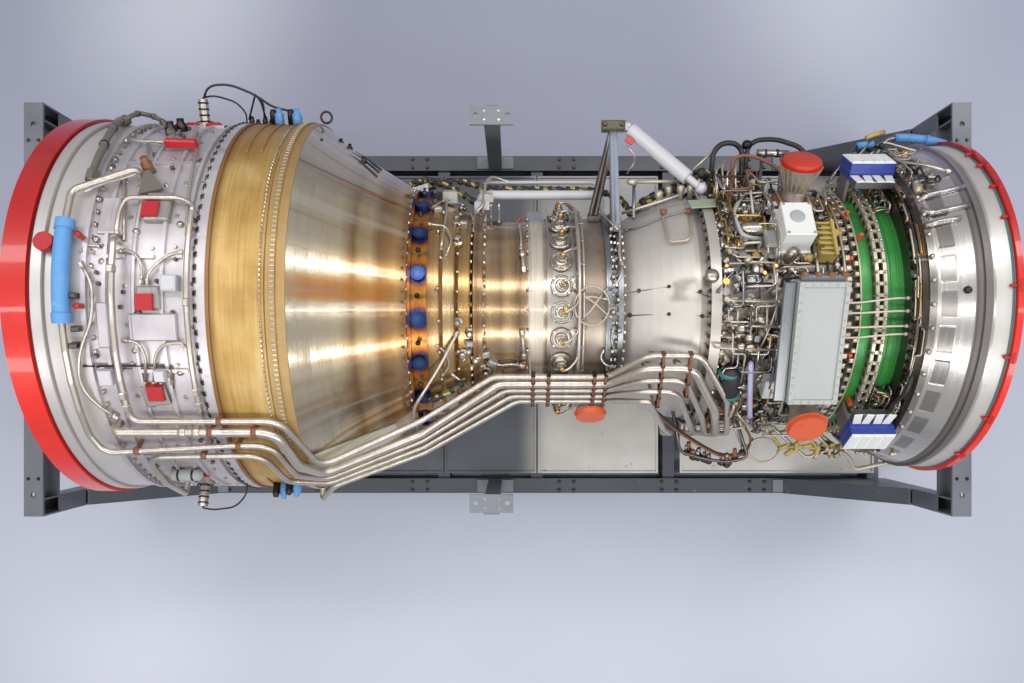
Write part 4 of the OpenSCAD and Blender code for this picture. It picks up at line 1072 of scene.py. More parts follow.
def probe_leads():
    """Rings of the two side probes, and the black leads that loop from them back to the drum."""
    kit = Kit("probe_leads")
    for side in (1, -1):
        tip = seat(PROBE_X, PROBE_ANGLE * side, 1.085)
        kit.turned("bolt_dark", [tip @ shift(0, 0, -0.1 + 0.03 * k) for k in range(4)], stub(26.5, 8), 16)
        head = tip.translation
        out = tip.to_3x3() @ Vector((0, 0, 1))
        loop = [head, head + out * 0.02, head + out * 0.03 + Vector((0.06, 0, 0)), on(-1.36, 76 * side, 1.09),
                on(-1.30, 74 * side, 1.03), on(-1.29, 72 * side, 0.985)]
        kit.pipe("rubber", 0.0045, loop, 0.05)
        if side > 0:
            kit["tag_red"].block(seat(PROBE_X, 70.5, 0.955), (0.17, 0.045, 0.03), 0.008)
        pad = seat(PROBE_X, PROBE_ANGLE * side, 0.985)
        bolt(kit["bolt_dark"], [pad @ turn("Z", 60 * k) @ shift(0.038, 0, -0.001) for k in range(6)], 0.012)
    return kit


# Gold band and hot section

def gold_top():
    """Bolt row, tabs and ribs of the ochre band, with the plugs and leads at its sides."""
    kit = Kit("gold_band")
    tabs = 270
    flange_bolts(kit["bolt"], gold.x0 + 0.24, 0.972, tabs, 0.017, -1)
    for place in row(-0.958, 0.984, tabs):
        kit["lever"].block(place, (0.02, 0.008, 0.004), 0.001)
    for x in (-1.155, -1.085):
        for start, end in ((42, 69), (-80, -66)):
            rib = [on(x, a, gold.r - 0.007) for a in np.linspace(start, end, 12)]
            kit.pipe("lever_gold", 0.006, rib, sides=6)
    for x, a in ((-1.12, 72), (-1.02, 70), (-1.10, -73), (-1.02, -70)):
        kit.turned("sleeve", [seat(x, a, GOLD_R)], profile(20, 0, 24, 6, 24, 50, 16, 60, 12, 80), 12)
        kit.turned("bolt_dark", [seat(x - 0.035, a + 1, GOLD_R)], stub(18, 60, 12, 75), 10)
    kit.turned("bolt_dark", [seat(x, a, 0.97) for a in (77, 83) for x in (-1.29, -1.22)],
               profile(10, 0, 14, 10, 14, 30, 9, 50))
    fork = on(-1.24, 73, 1.12)
    lead = [on(PROBE_X, PROBE_ANGLE, 1.085), on(-1.46, 70, 1.16), on(-1.36, 71, 1.17), fork,
            on(-1.16, 73, 1.06), on(-1.06, 72, 1.04), on(-1.0, 71, 1.0)]
    kit.pipe("rubber", 0.006, lead, 0.05)
    for a, x in ((76, -1.30), (80, -1.24), (74, -1.20)):
        kit.pipe("rubber", 0.005, [fork, on((x - 1.24) / 2, a, 1.09), on(x, a, 1.0)], 0.03)
    eye = seat(-0.885, 74, 0.97)
    kit.pipe("bolt_dark", 0.006, [eye @ Vector((0.028 * c, 0, 0.04 + 0.028 * s)) for c, s in circle(25)])
    return kit


def cone_details():
    """Bolts at the wide end of the cone, plugs, one seam and the leads at its far side."""
    kit = Kit("cone")
    flange_bolts(kit["bolt_dark"], -0.889, 0.936, 120, 0.014, 1)
    kit.turned("bolt_dark", feet(-0.004, (322, 146), (341, 142), (350, 149), (364, 163)),
               stub(15, 15, 9, 20, 9, 35), 10)
    kit.pipe("brown", 0.004, run([(303, 169, 3), (345, 184, 3), (396, 203, 3)], 0.02), sides=6)
    for a in (60, 66, 72):
        lead = [(-0.86, a), (-0.78, a + 2), (-0.70, a + 3), (-0.65, a), (-0.60, a - 3)]
        kit.pipe("rubber", 0.005, wrapped([(x, t, skin(x) + 0.003) for x, t in lead]))
    return kit


def harness(kit, rows, radius, ties=0.05):
    """Braided bundle: three leads twisted together, with dark ties."""
    path = rounded(rows, 0.05) if isinstance(rows[0], Vector) else run(rows, 0.05)
    fine = []
    for a, b in zip(path, path[1:]):
        n = max(1, int((b - a).length / 0.012))
        fine += [a.lerp(b, i / n) for i in range(n)]
    fine.append(path[-1])
    for strand, finish in enumerate(("olive", "yellow", "rubber")):
        twisted = []
        for i, p in enumerate(fine):
            ahead = fine[min(i + 1, len(fine) - 1)] - fine[max(i - 1, 0)]
            side = ahead.cross(Vector((0, 0, 1))).normalized()
            other = ahead.cross(side).normalized()
            t = i * 0.42 + strand * 2 * math.pi / 3
            twisted.append(p + (side * math.cos(t) + other * math.sin(t)) * radius * 0.62)
        kit[finish].tube(twisted, radius * 0.55, 6)
    kit.clips("rubber", fine, ties, radius * 0.9)


def boss_plugs():
    """A dark plug between each two bosses, and the bolts of the flange beside them."""
    kit = Kit("bosses")
    kit.turned("bolt_dark", row(bosses.x0 + bosses.length * 0.56, bosses.r - 0.002, 18, 20),
               stub(13, 10, 8, 14, 8, 22))
    flange_bolts(kit["bolt"], bosses.x0 + 0.006, bosses.r + 0.028, 72, 0.014, -1)
    return kit


def turbine_plumbing():
    """Harnesses, tubes, unions and plugs on the turbine casing."""
    kit = Kit("turbine")
    harness(kit, [(412, 184, 50), (430, 176, 80), (455, 183, 90), (478, 186, 60)], 0.014)
    harness(kit, [(428, 402, 40), (440, 396, 60), (455, 388, 60), (466, 380, 40)], 0.014)
    kit.routes(
        ("steel", 8, 0.06, (458, 332, 22), (440, 366, 40), (424, 392, 60), (412, 410, 90), (420, 432, 110)),
        ("steel", 6, 0.05, (452, 374, 12), (470, 388, 40), (486, 392, 60), (500, 397, 70)),
        ("steel", 7, 0.05, (486, 388, 70), (505, 397, 80), (516, 402, 86)),
        ("steel", 6, 0.03, (447, 190, 30), (446, 216, 16), (441, 250, 12)),
        ("steel", 6, 0.03, (475, 205, 30), (474, 232, 14)),
        ("steel", 5, 0.03, (432, 208, 14), (450, 200, 26), (466, 206, 26), (474, 222, 12)),
        ("steel", 5, 0.03, (428, 224, 10), (446, 226, 18), (452, 240, 18), (446, 256, 8)),
        ("steel", 5, 0.03, (436, 345, 8), (446, 352, 20), (450, 366, 20), (442, 376, 8)))
    for place in feet(-0.004, (457, 225), (458, 244), (458, 322), (463, 352), (478, 355), (486, 368),
                      (470, 332)):
        kit.turned("nozzle", [place], stub(26, 20, 16, 26, 16, 50, 10, 56), rng.choice((6, 8, 12)), False)
    for px, py in ((464, 228), (470, 342), (438, 214)):
        kit["cast"].block(at(px, py, -0.004, rng.uniform(-20, 20)), (0.040, 0.028, 0.04), 0.006)
    for px, py, wide, tall in ((469, 350, 18, 40), (476, 357, 22, 55), (481, 350, 15, 35),
                               (472, 364, 15, 50), (482, 360, 12, 60), (464, 358, 13, 30)):
        neck = wide * 0.6
        kit.turned("steel", [at(px, py, -0.004)], stub(wide, tall * 0.6, neck, tall * 0.7, neck, tall))
    kit.blocks(
        ("cast", at(447, 188, 0.0, 20), (0.08, 0.12, 0.07), 0.01),
        ("drum", at(420, 178, 0.02, 10), (0.08, 0.05, 0.05), 0.008))
    plugs = [seat(turbine.x0 + 0.055 + rng.uniform(-0.01, 0.01), 15 * k + 4, 0.590) for k in range(24)]
    kit.turned("nozzle", plugs, stub(10, 12, 6, 18))
    kit.turned("bolt", row(turbine.x0 + 0.145, 0.556, 36, 3), stub(10, 14, 6, 20), 6)
    flange_bolts(kit["bolt"], turbine.x1 - 0.028, 0.522, 60, 0.020, -1)
    flange_bolts(kit["bolt"], turbine.x1 + 0.028, 0.516, 60, 0.020, 1)
    return kit


def waist_fittings():
    """Tubes, a far harness, a tag and small housings on the waist."""
    kit = Kit("waist")
    for px, top, foot in ((483, 196, 226), (491, 200, 216), (499, 196, 222)):
        kit.routes(("steel", 5, 0.03, (px, top, 90), (px, (top + foot) / 2, 60), (px, foot, 14)))
    riser = levels((484, 204, 1.46), (485, 184, 1.38), (491, 176, 1.32), (504, 181, 1.28), (514, 183, 1.28))
    kit.pipe("steel", 0.009, [on(-0.112, 68, 0.53)] + riser, 0.05)
    kit.blocks(
        ("drum", at(482, 197, 0.06), (0.08, 0.06, 0.05), 0.01),
        ("cast", at(488, 186, 0.1, 10), (0.05, 0.04, 0.05), 0.008))
    far = levels((455, 180, 1.42), (492, 189, 1.36), (595, 190, 1.36), (620, 198, 1.42), (631, 213, 1.50))
    harness(kit, [on(-0.42, 74, 0.64)] + far, 0.014)
    kit.blocks(
        ("plate", at(534, 208), (0.075, 0.05, 0.05), 0.006),
        ("tag_red", at(521, 218, 0.004), (0.018, 0.014, 0.02), 0.004))
    kit.routes(
        ("steel", 9, 0.03, (522, 252, 12), (523, 262, 18), (524, 272, 10)),
        ("steel", 9, 0.03, (522, 330, 12), (523, 344, 18), (524, 358, 10)),
        ("steel", 7, 0.03, (519, 226, 10), (521, 238, 14), (521, 250, 8)))
    kit.turned("bolt", row(0.158, 0.494, 30, 6), stub(8, 8, 5, 12), 6)
    kit.routes(
        ("nozzle", 8, 0.03, (490, 362, 14), (500, 366, 26), (512, 364, 26), (524, 366, 10)),
        ("brown", 7, 0.03, (500, 368, 12), (514, 366, 14), (526, 362, 8)))
    for px, py in ((486, 352), (492, 360), (498, 372)):
        kit["cast"].block(at(px, py, 0.0, rng.uniform(-30, 30)), (0.05, 0.035, 0.045), 0.008)
    return kit


def nozzle_fittings():
    """Each fuel nozzle: clamp ring, hexagon, swivel and its branch to the manifold."""
    kit = Kit("nozzles")
    count = 24
    x = nozzles.x0 + 0.07
    for k in range(count):
        a = (k + 0.5) * 360 / count
        place = seat(x, a, 0.494)
        clamp = profile(52, 0, 56, 4, 56, 12, 50, 16, 44, 16, 44, 6, 34, 6, 34, 22, 28, 26)
        kit.turned("nozzle", [place], clamp, 20)
        bolt(kit["bolt"], [place @ turn("Z", 90 * j + 45) @ shift(0.050, 0, 0.012) for j in range(4)], 0.012)
        kit.turned("nozzle", [place @ shift(0.004, 0, 0.022)], stub(26, 22, 18, 28, 18, 40), 6, False)
        kit.turned("brass", [place @ shift(0.004, 0, 0.06)], stub(13, 20, 8, 24), 6)
        branch = [on(x + 0.004, a, 0.582), on(x + 0.035, a + 1.5, 0.586), on(x + 0.07, a + 4, 0.560),
                  on(x + 0.085, a + 7.5, 0.545)]
        kit["steel"].tube(rounded(branch, 0.02, 3), 0.006, 6)
    kit.hoop("steel", 0.011, x + 0.085, 0.545, 97)
    kit.hoop("steel", 0.008, x + 0.108, 0.530, 97)
    for place in row(x + 0.096, 0.490, count, 4):
        kit["bracket"].block(place, (0.045, 0.012, 0.05), 0.002)
    flange_bolts(kit["bolt_dark"], 0.262, 0.484, 72, 0.012, -1)
    kit.routes(
        ("lever", 5, 0.03, (574, 287, 26), (584, 296, 40), (596, 304, 60), (604, 312, 40), (612, 318, 20)),
        ("lever", 5, 0.03, (606, 290, 30), (598, 300, 60), (590, 312, 50), (578, 322, 26)),
        ("steel", 5, 0.03, (575, 300, 24), (590, 296, 50), (607, 300, 24)),
        ("steel", 5, 0.03, (575, 330, 24), (583, 333, 30), (590, 326, 26), (580, 318, 24)))
    ring = [at(592, 306, 0.055) @ Vector((0.085 * c, 0.095 * s, 0)) for c, s in circle(33)]
    kit.pipe("lever", 0.0045, ring)
    for k in (4, 12, 20, 28):
        foot = ring[k]
        angle = math.degrees(math.atan2(foot.y, foot.z - SHAFT_Z))
        kit.pipe("bracket", 0.005, [foot, on(foot.x, angle, 0.50)])
    kit["brass"].block(at(566, 310, 0.06, 20), (0.02, 0.04, 0.02), 0.004)
    return kit


def middle_details():
    """Bolt rows and tubes of the middle flange, and what hangs on the top of the A-shaped bracket."""
    kit = Kit("middle")
    for x, r, side in ((0.573, 0.507, 1), (0.602, 0.504, -1), (0.632, 0.500, 1)):
        flange_bolts(kit["bolt"], x, r, 66, 0.022, side)
    kit.routes(
        ("steel", 6, 0.03, (622, 262, 24), (621, 276, 40), (615, 286, 40), (606, 290, 24)),
        ("steel", 7, 0.03, (619, 218, 30), (620, 236, 24), (619, 254, 22), (622, 266, 20)),
        ("steel", 5, 0.04, (598, 196, 90), (601, 208, 60), (610, 222, 40), (618, 230, 20)),
        ("steel", 5, 0.03, (604, 350, 20), (600, 358, 40), (606, 366, 40), (614, 366, 20)),
        ("steel", 5, 0.03, (613, 330, 20), (611, 342, 30), (616, 352, 20)))
    kit.turned("nozzle", feet(0, (613, 262), (613, 278), (618, 300), (613, 312), (619, 330), (612, 350),
                              (618, 246), (611, 232)), stub(14, 20, 9, 30))
    kit["olive"].block(shift(0.615, 0.951, 1.476), (0.125, 0.05, 0.035), 0.006)
    bolt(kit["bolt_dark"], [shift(x, 0.951, 1.51) for x in (0.57, 0.66)], 0.022)
    kit["tag_red"].block(shift(0.70, 0.868, 1.50) @ turn("Z", -35), (0.045, 0.035, 0.006), 0.002)
    link = [(0.69, 0.85, 1.47), (0.74, 0.80, 1.45), (0.735, 0.77, 1.42), (0.70, 0.72, 1.40)]
    kit.pipe("steel", 0.005, link, 0.02)
    kit.pipe("steel", 0.008, [on(0.645, 56, 0.56), on(0.93, 55, 0.66)])
    return kit


# Cold section

def bundle_clamps():
    """Brown bands that hold the five pipes together, each screwed to its neighbour."""
    kit = Kit("bundle")
    bands = [(x, -38, -58.6, 0.599, 6) for x in (0.185, 0.262, 0.490, 0.546)]
    bands += [(0.800, -23, -48, 0.697, 6), (0.93, -23, -42, 0.697, 4)]
    for x, first, last, r, screws in bands:
        for lift in (-0.018, 0.018):
            kit.pipe("brown", 0.007, [on(x, a, r + lift) for a in np.linspace(first, last, 9)], sides=6)
        for a in np.linspace(first, last, screws):
            kit["bolt_dark"].block(seat(x, a, r - 0.02), (0.020, 0.010, 0.044), 0.003)
    for x, a, r, wide in (
            (-1.66, -45.2, 1.029, 0.020), (-1.29, -38.5, 1.027, 0.027), (-1.09, -38.5, 1.027, 0.027),
            (-1.18, -43.3, 1.027, 0.020), (-1.24, -35.3, 1.019, 0.020), (-1.36, -47.2, 1.025, 0.020)):
        kit.turned("brown", [seat(x, a, r) @ turn("Y", 90)], barrel(wide * 1000, 11), 12)
        kit["brown"].block(seat(x, a, 0.956), (0.018, 0.012, r - 0.956 - wide * 0.6), 0.002)
    return kit


def compressor_details():
    """Seams, handle, pad, harness and small brackets on the compressor casing."""
    kit = Kit("compressor")
    for rows in ([(624, 294, 8), (639, 291, 6), (668, 287, 6), (700, 293, 6), (712, 296, 10)],
                 [(626, 316, 8), (640, 315, 6), (669, 314, 6), (702, 316, 6), (735, 321, 12)]):
        kit.pipe("flange", 0.0026, run(rows, 0.02), sides=6)
    rivets = feet(-0.003, (639, 291), (669, 287), (630, 315), (669, 314), (700, 292), (702, 316))
    kit.turned("bolt_dark", rivets, stub(11, 8, 7, 14))
    handle = kit.lines("lever", 7, [(663, 213, 4), (664, 224, 26), (668, 242, 34), (690, 240, 34),
                                    (692, 226, 26), (688, 212, 4)])
    for end in (handle[0], handle[-1]):
        kit["brown"].block(shift(*end), (0.03, 0.03, 0.03), 0.006)
    kit.routes(("bracket", 5, 0.06, (625, 231, 20), (642, 226, 16), (662, 217, 22), (700, 207, 30),
                (726, 197, 40), (738, 190, 10)))
    kit["sage"].block(at(704, 204, 0.012, 6), (0.15, 0.075, 0.006), 0.002)
    kit.turned("lever", feet(0, (658, 207), (668, 202), (680, 201), (690, 200)),
               stub(16, 45, 22, 50, 22, 75, 14, 85), 10)
    strut_side = [(629, 214, 12), (645, 201, 50), (680, 183, 70), (704, 171, 110), (716, 166, 60)]
    harness(kit, strut_side, 0.021, 0.06)
    kit.routes(("lever", 6, 0.04, (632, 214, 14), (640, 209, 40), (662, 198, 40), (672, 193, 12)))
    rod = levels((636, 182, 1.52), (688, 181, 1.50))
    kit.pipe("lever", 0.009, rod)
    kit.turned("lever", [shift(*rod[0]) @ turn("Y", -90)], stub(18, 30, 6, 50))
    kit.pipe("bracket", 0.009, [rod[0], level(634, 186, 1.5), on(0.70, 50, 0.56)], 0.03)
    kit.pipe("bracket", 0.009, [rod[1], level(692, 186, 1.50), on(1.03, 52, 0.645)])
    flange_bolts(kit["bolt_dark"], 1.028, 0.622, 72, 0.018, -1)
    flange_bolts(kit["bolt"], 1.082, 0.620, 72, 0.018, 1)
    kit.turned("nozzle", [at(712, 276)], stub(34, 10, 26, 22, 0, 30), 20)
    kit.routes(
        ("bracket", 6, 0.04, (718, 292, 10), (724, 282, 30), (736, 270, 34), (744, 262, 12)),
        ("bracket", 6, 0.04, (737, 292, 14), (739, 284, 30), (747, 270, 34), (752, 262, 12)))
    for px, py in ((644, 360), (652, 352), (676, 360), (686, 404), (694, 412), (700, 432)):
        kit["bracket"].block(at(px, py, 0.0, rng.uniform(-20, 20)), (0.03, 0.02, 0.05), 0.004)
    return kit


def thicket(kit, span, angles, count, radii=(3.5, 7.5), lifts=(0.02, 0.11), base=None):
    """Short plumbing runs that go along and round the casing and end on it."""
    finishes = ("steel", "nozzle", "lever", "bracket", "brown", "rubber", "brass", "flange", "steel", "lever")
    for _ in range(count):
        x, a = rng.uniform(*span), rng.uniform(*angles)
        r0 = base or skin(x)
        lift = rng.uniform(*lifts)
        rows = [(x, a, r0 - 0.004), (x, a, r0 + lift)]
        along = rng.random() < 0.5
        for _ in range(rng.choice((1, 2, 2, 3))):
            if along:
                x = min(span[1], max(span[0], x + rng.choice((-1, 1)) * rng.uniform(0.05, 0.16)))
            else:
                a = min(angles[1], max(angles[0], a + rng.choice((-1, 1)) * rng.uniform(5, 16)))
            lift = min(lifts[1], max(lifts[0], lift + rng.uniform(-0.02, 0.02)))
            rows.append((x, a, r0 + lift))
            along = not along
        rows.append((x, a, r0 - 0.004))
        radius = rng.uniform(*radii) / 1000
        finish = rng.choice(finishes)
        kit.pipe(finish, radius, wrapped(rows, 0.022, 4), sides=7)
        other = rng.choice(("nozzle", "brass", "bolt", "bolt_dark"))
        for place, away in ((rows[0], rows[1]), (rows[-1], rows[-2])):
            kit.nut(other, on(place[0], place[1], r0 + 0.004), on(*away), radius, 2.4, 1.9)


def undergrowth(kit, span, angles, count):
    """Unions, plugs, valves and small housings that stand on the casing."""
    plugs = (stub(16, 16, 10, 20, 10, 40), stub(22, 10, 14, 14, 14, 34, 18, 36, 18, 46),
             profile(12, 0, 18, 4, 18, 50, 10, 58), stub(28, 8, 20, 12, 20, 30))
    finishes = ("nozzle", "bolt", "steel", "lever", "brass", "bolt_dark", "flange", "cast", "bracket",
                "nozzle")
    for _ in range(count):
        x, a = rng.uniform(*span), rng.uniform(*angles)
        place = seat(x, a, skin(x) - 0.003) @ turn("Z", rng.uniform(0, 360))
        kind = rng.random()
        finish = rng.choice(finishes)
        if kind < 0.55:
            kit.turned(finish, [place], rng.choice(plugs), rng.choice((6, 8, 12)), False)
        elif kind < 0.8:
            size = (rng.uniform(0.025, 0.06), rng.uniform(0.02, 0.045), rng.uniform(0.02, 0.06))
            kit[finish].block(place, size, 0.005)
            bolt(kit["bolt"], [place @ shift(0, 0, size[2])], 0.014)
        else:
            half = rng.uniform(0.05, 0.10) * 500
            lying = place @ shift(0, 0, 0.02) @ turn("Y", 90)
            kit.turned(finish, [lying], barrel(0, half, 14, half, 20, half - 8), 12)


def accessory_maze():
    """Plumbing between the front flange and the vane gear, round the boxes and caps."""
    kit = Kit("accessory")
    left, right = (1.10, 1.35), (1.36, 1.63)
    undergrowth(kit, left, (-78, 76), 210)
    thicket(kit, left, (-76, 74), 84)
    undergrowth(kit, right, (3, 20), 30)
    undergrowth(kit, right, (36, 76), 70)
    thicket(kit, right, (4, 70), 44)
    undergrowth(kit, right, (-80, -40), 80)
    thicket(kit, right, (-78, -41), 44)
    # long cream tubes from the front flange to the control box
    for rows in ([(725, 300, 60), (740, 301, 80), (783, 302, 100)],
                 [(728, 325, 60), (745, 326, 84), (783, 327, 100)],
                 [(715, 347, 40), (730, 349, 80), (780, 350, 100)]):
        path = run(rows, 0.03)
        kit.pipe("lever", 0.006, path)
        kit.pipe("lever", 0.006, [path[0], at(rows[0][0], rows[0][1], -0.004).translation])
        kit.nut("bolt", path[-1], path[-2], 0.006)
    # bent pale conduit and its neighbours
    kit.routes(
        ("lever", 5, 0.03, (779, 300, 90), (772, 322, 90), (764, 341, 80), (757, 352, 10)),
        ("box", 10, 0.04, (746, 196, 30), (737, 205, 90), (733, 214, 96), (738, 226, 96), (742, 235, 90),
         (752, 238, 86), (764, 239, 20)),
        ("brown", 6, 0.05, (731, 165, 120), (731, 190, 110), (729, 208, 90), (729, 226, 20)),
        ("white", 6, 0.05, (748, 168, 120), (750, 190, 110), (753, 214, 80), (755, 220, 10)),
        ("bracket", 6, 0.04, (752, 197, 20), (760, 187, 110), (769, 177, 120), (774, 172, 40)),
        ("bracket", 5, 0.04, (752, 223, 20), (758, 216, 80), (765, 203, 90), (768, 196, 20)),
        ("steel", 5, 0.03, (770, 262, 10), (775, 270, 40), (783, 272, 44), (790, 262, 10)))
    # silver valve body, white connectors beside the white box, housings
    kit.turned("nozzle", [at(752, 229, 0.07) @ turn("Y", 90)], barrel(0, 60, 28, 55, 34, 30), 16)
    kit.pipe("nozzle", 0.018, [at(752, 229, lift).translation for lift in (-0.004, 0.07)], sides=10)
    for place in feet(0.03, (770, 213), (775, 220), (778, 227)):
        kit["white"].block(place, (0.045, 0.03, 0.06), 0.006)
    kit.blocks(
        ("cast", at(772, 246, 0.01), (0.11, 0.10, 0.075), 0.012),
        ("cast", at(790, 255, 0.01), (0.06, 0.05, 0.07), 0.01))
    kit.turned("nozzle", [at(786, 262)], stub(30, 70, 22, 80, 22, 120), 14)
    kit.turned("flange", [at(812, 270, 0.01) @ turn("Y", 90)], barrel(0, 110, 45, 100, 52, 60), 20)
    # small tanks, post, white box and dark tank between the pipes and the control box
    kit.turned("nozzle", feet(0, (737, 326), (745, 334), (737, 342)), stub(26, 80, 16, 100), 14)
    post = [at(*p).translation for p in ((751, 362, -0.004), (751, 364, 0.10), (750, 392, 0.11),
                                         (750, 416, 0.09), (750, 418, 0.0))]
    kit.pipe("lilac", 0.013, post, 0.03, 12)
    kit["white"].block(at(768, 382, 0.02), (0.07, 0.11, 0.07), 0.008)
    kit.turned("rubber", [at(729, 383, 0.06) @ turn("X", 90)], barrel(0, 90, 40, 85, 52, 60), 20)
    kit["bracket"].block(at(729, 383), (0.06, 0.05, 0.05), 0.006)
    kit.turned("teal", [at(729, py, 0.062) @ turn("X", 90) for py in (373, 393)], barrel(53.5, 8), 20)
    # near side: loops, hoses and the yellow fittings
    grey = [at(787, 413, 0.04).translation, at(801, 405, 0.10).translation]
    kit.pipe("grey_hose", 0.021, grey, sides=14)
    kit.pipe("bracket", 0.012, [grey[0], at(787, 413, -0.004).translation], sides=10)
    kit.routes(
        ("rubber", 7, 0.04, (785, 405, 40), (794, 412, 90), (804, 414, 90), (806, 404, 40)),
        ("steel", 7, 0.05, (734, 408, 20), (742, 420, 70), (760, 431, 90), (786, 432, 80), (796, 428, 20)))
    loop = [level(763 + 15 * c, 450 + 12 * s, 1.30) for c, s in circle(33)]
    kit.pipe("lever", 0.006, loop)
    kit.pipe("lever", 0.006, [loop[24], level(763, 432, 1.36), on(1.25, -62, FRONT_R)], 0.03)
    kit.pipe("lever", 0.006, [loop[18], level(742, 446, 1.34), on(1.20, -66, FRONT_R)], 0.03)
    brown = levels((655, 412, 1.50), (675, 430, 1.45), (700, 446, 1.38), (720, 457, 1.34), (745, 455, 1.34),
                   (752, 440, 1.38))
    kit.pipe("brown", 0.007, [on(0.78, -50, 0.545)] + brown + [on(1.22, -60, FRONT_R)], 0.06)
    kit.pipe("rubber", 0.005, [p + Vector((0.0, 0.012, 0.010)) for p in brown], 0.06)
    for _ in range(16):
        px = rng.uniform(682, 748)
        py = 462 - abs(px - 722) * 0.25 + rng.uniform(-5, 4)
        top, foot = level(px, py - 7, 1.36), level(px, py, 1.32)
        finish = rng.choice(("bolt_dark", "flange", "bracket", "brown"))
        kit.pipe(finish, rng.uniform(0.008, 0.014), [top, foot])
        kit.turned("bolt_dark", [shift(*foot)], profile(18, -20, 18, 12, 10, 20))
    rail = levels((680, 452, 1.36), (705, 459, 1.36), (725, 462, 1.36), (748, 458, 1.36))
    kit.pipe("flange", 0.009, [on(0.93, -70, 0.58)] + rail + [on(1.26, -72, FRONT_R)], 0.04)
    for px, py in ((782, 447), (788, 452), (795, 447), (800, 441), (806, 446), (816, 450)):
        place = shift(*level(px, py, 1.36)) @ turn("Z", rng.uniform(0, 90))
        kit["yellow"].block(place, (0.05, 0.022, 0.03), 0.005)
    for finish, radius, first, middle, last in (
            ("yellow", 0.008, (1.36, -72), [(782, 448, 1.37), (800, 446, 1.37), (818, 449, 1.37)],
             (1.56, -72)),
            ("lever", 0.010, (1.40, -76), [(806, 458, 1.30), (830, 449, 1.30)], (1.60, -74))):
        kit.pipe(finish, radius, [on(*first, FRONT_R)] + levels(*middle) + [on(*last, FRONT_R)], 0.03)
    for _ in range(30):
        px, py = rng.uniform(812, 842), rng.uniform(444, 456)
        scrap = kit[rng.choice(("lever", "yellow", "bolt_dark", "nozzle"))]
        place = shift(*level(px, py, rng.uniform(1.26, 1.30)))
        scrap.block(place @ turn("Z", rng.uniform(0, 90)), (0.03, 0.02, 0.03), 0.004)
    return kit


def far_side_hoses():
    """Hoses, arch and actuator along the far side, between the strut and the red cap."""
    kit = Kit("far_hoses")
    arch = levels((712, 166, 1.52), (713, 152, 1.52), (722, 143, 1.52), (735, 143, 1.52), (742, 150, 1.50))
    kit.pipe("rubber", 0.014, [on(1.08, 60, 0.64)] + arch + [on(1.27, 62, 0.60)], 0.07, 10)
    hose = levels((748, 146, 1.50), (757, 140, 1.50), (776, 139, 1.50), (800, 147, 1.50), (808, 158, 1.50))
    kit.pipe("rubber", 0.013, [on(1.28, 66, 0.60)] + hose + [on(1.52, 62, 0.60)], 0.08, 10)
    ball = profile(0, -28, 20, -20, 28, 0, 20, 20, 0, 28)
    kit.turned("bolt_dark", [shift(*level(747, 145, 1.50))], ball, 14)
    kit.pipe("nozzle", 0.019, levels((757, 153, 1.52), (788, 154, 1.52)), sides=14)
    for px in (764, 776):
        kit.pipe("rubber", 0.0215, levels((px, 153.3, 1.52), (px + 2, 153.4, 1.52)), sides=14)
    for px in (762, 782):
        foot_x = EYE.x + (px - AIM_PIXEL[0]) * 0.0050
        kit.pipe("bracket", 0.009, [level(px, 154, 1.52), on(foot_x, 52, 0.592)])
    brown = levels((732, 160, 1.58), (742, 155, 1.60), (757, 157, 1.60), (784, 171, 1.62))
    kit.pipe("brown", 0.009, [on(1.20, 50, 0.595)] + brown + [on(1.42, 44, 0.60)], 0.06)
    kit.pipe("lever", 0.007, levels((690, 173, 1.52), (713, 151, 1.52)))
    for top in levels((716, 172, 1.62), (722, 168, 1.6), (727, 175, 1.66), (735, 170, 1.64), (716, 182, 1.66),
                      (724, 186, 1.68)):
        path = [top + Vector((0.03, 0.05, -0.05)), top, on(top.x, 48, 0.595)]
        kit.pipe(rng.choice(("steel", "bracket", "lever")), rng.uniform(0.005, 0.009), path, 0.02)
    undergrowth(kit, (1.10, 1.35), (48, 78), 50)
    thicket(kit, (1.10, 1.36), (46, 80), 26, lifts=(0.04, 0.16))
    # fluted cone and brown ring under the red cap, seats of both caps
    port = seat(accessory.x0 + 0.403, RED_PORT_ANGLE, 0.0)
    verts = [(x, y, z) for edge in ((0.058, 0.104), (0.050, 0.095))
             for x, y, z in ((edge[0], -0.004, 0.727), (edge[1], -0.004, 0.857),
                             (edge[1], 0.004, 0.857), (edge[0], 0.004, 0.727))]
    faces = [(0, 1, 2, 3), (7, 6, 5, 4), (0, 4, 5, 1), (3, 2, 6, 7), (1, 5, 6, 2), (0, 3, 7, 4)]
    kit["lever"].stamp(verts, faces, [port @ turn("Z", k * 18) for k in range(20)])
    cap_seat = profile(0, 594, 96, 594, 96, 620, 60, 640)
    kit.turned("brown", [port], profile(60, 645, 104, 650, 108, 662, 104, 674, 60, 680), 32)
    kit.turned("nozzle", [port], cap_seat, 32)
    kit.turned("cap", [port], profile(86, 858, 91.5, 860, 91.5, 880, 87, 884.5), 40)
    kit.turned("nozzle", [seat(accessory.x0 + 0.436, -49, 0.0)], cap_seat, 32)
    return kit


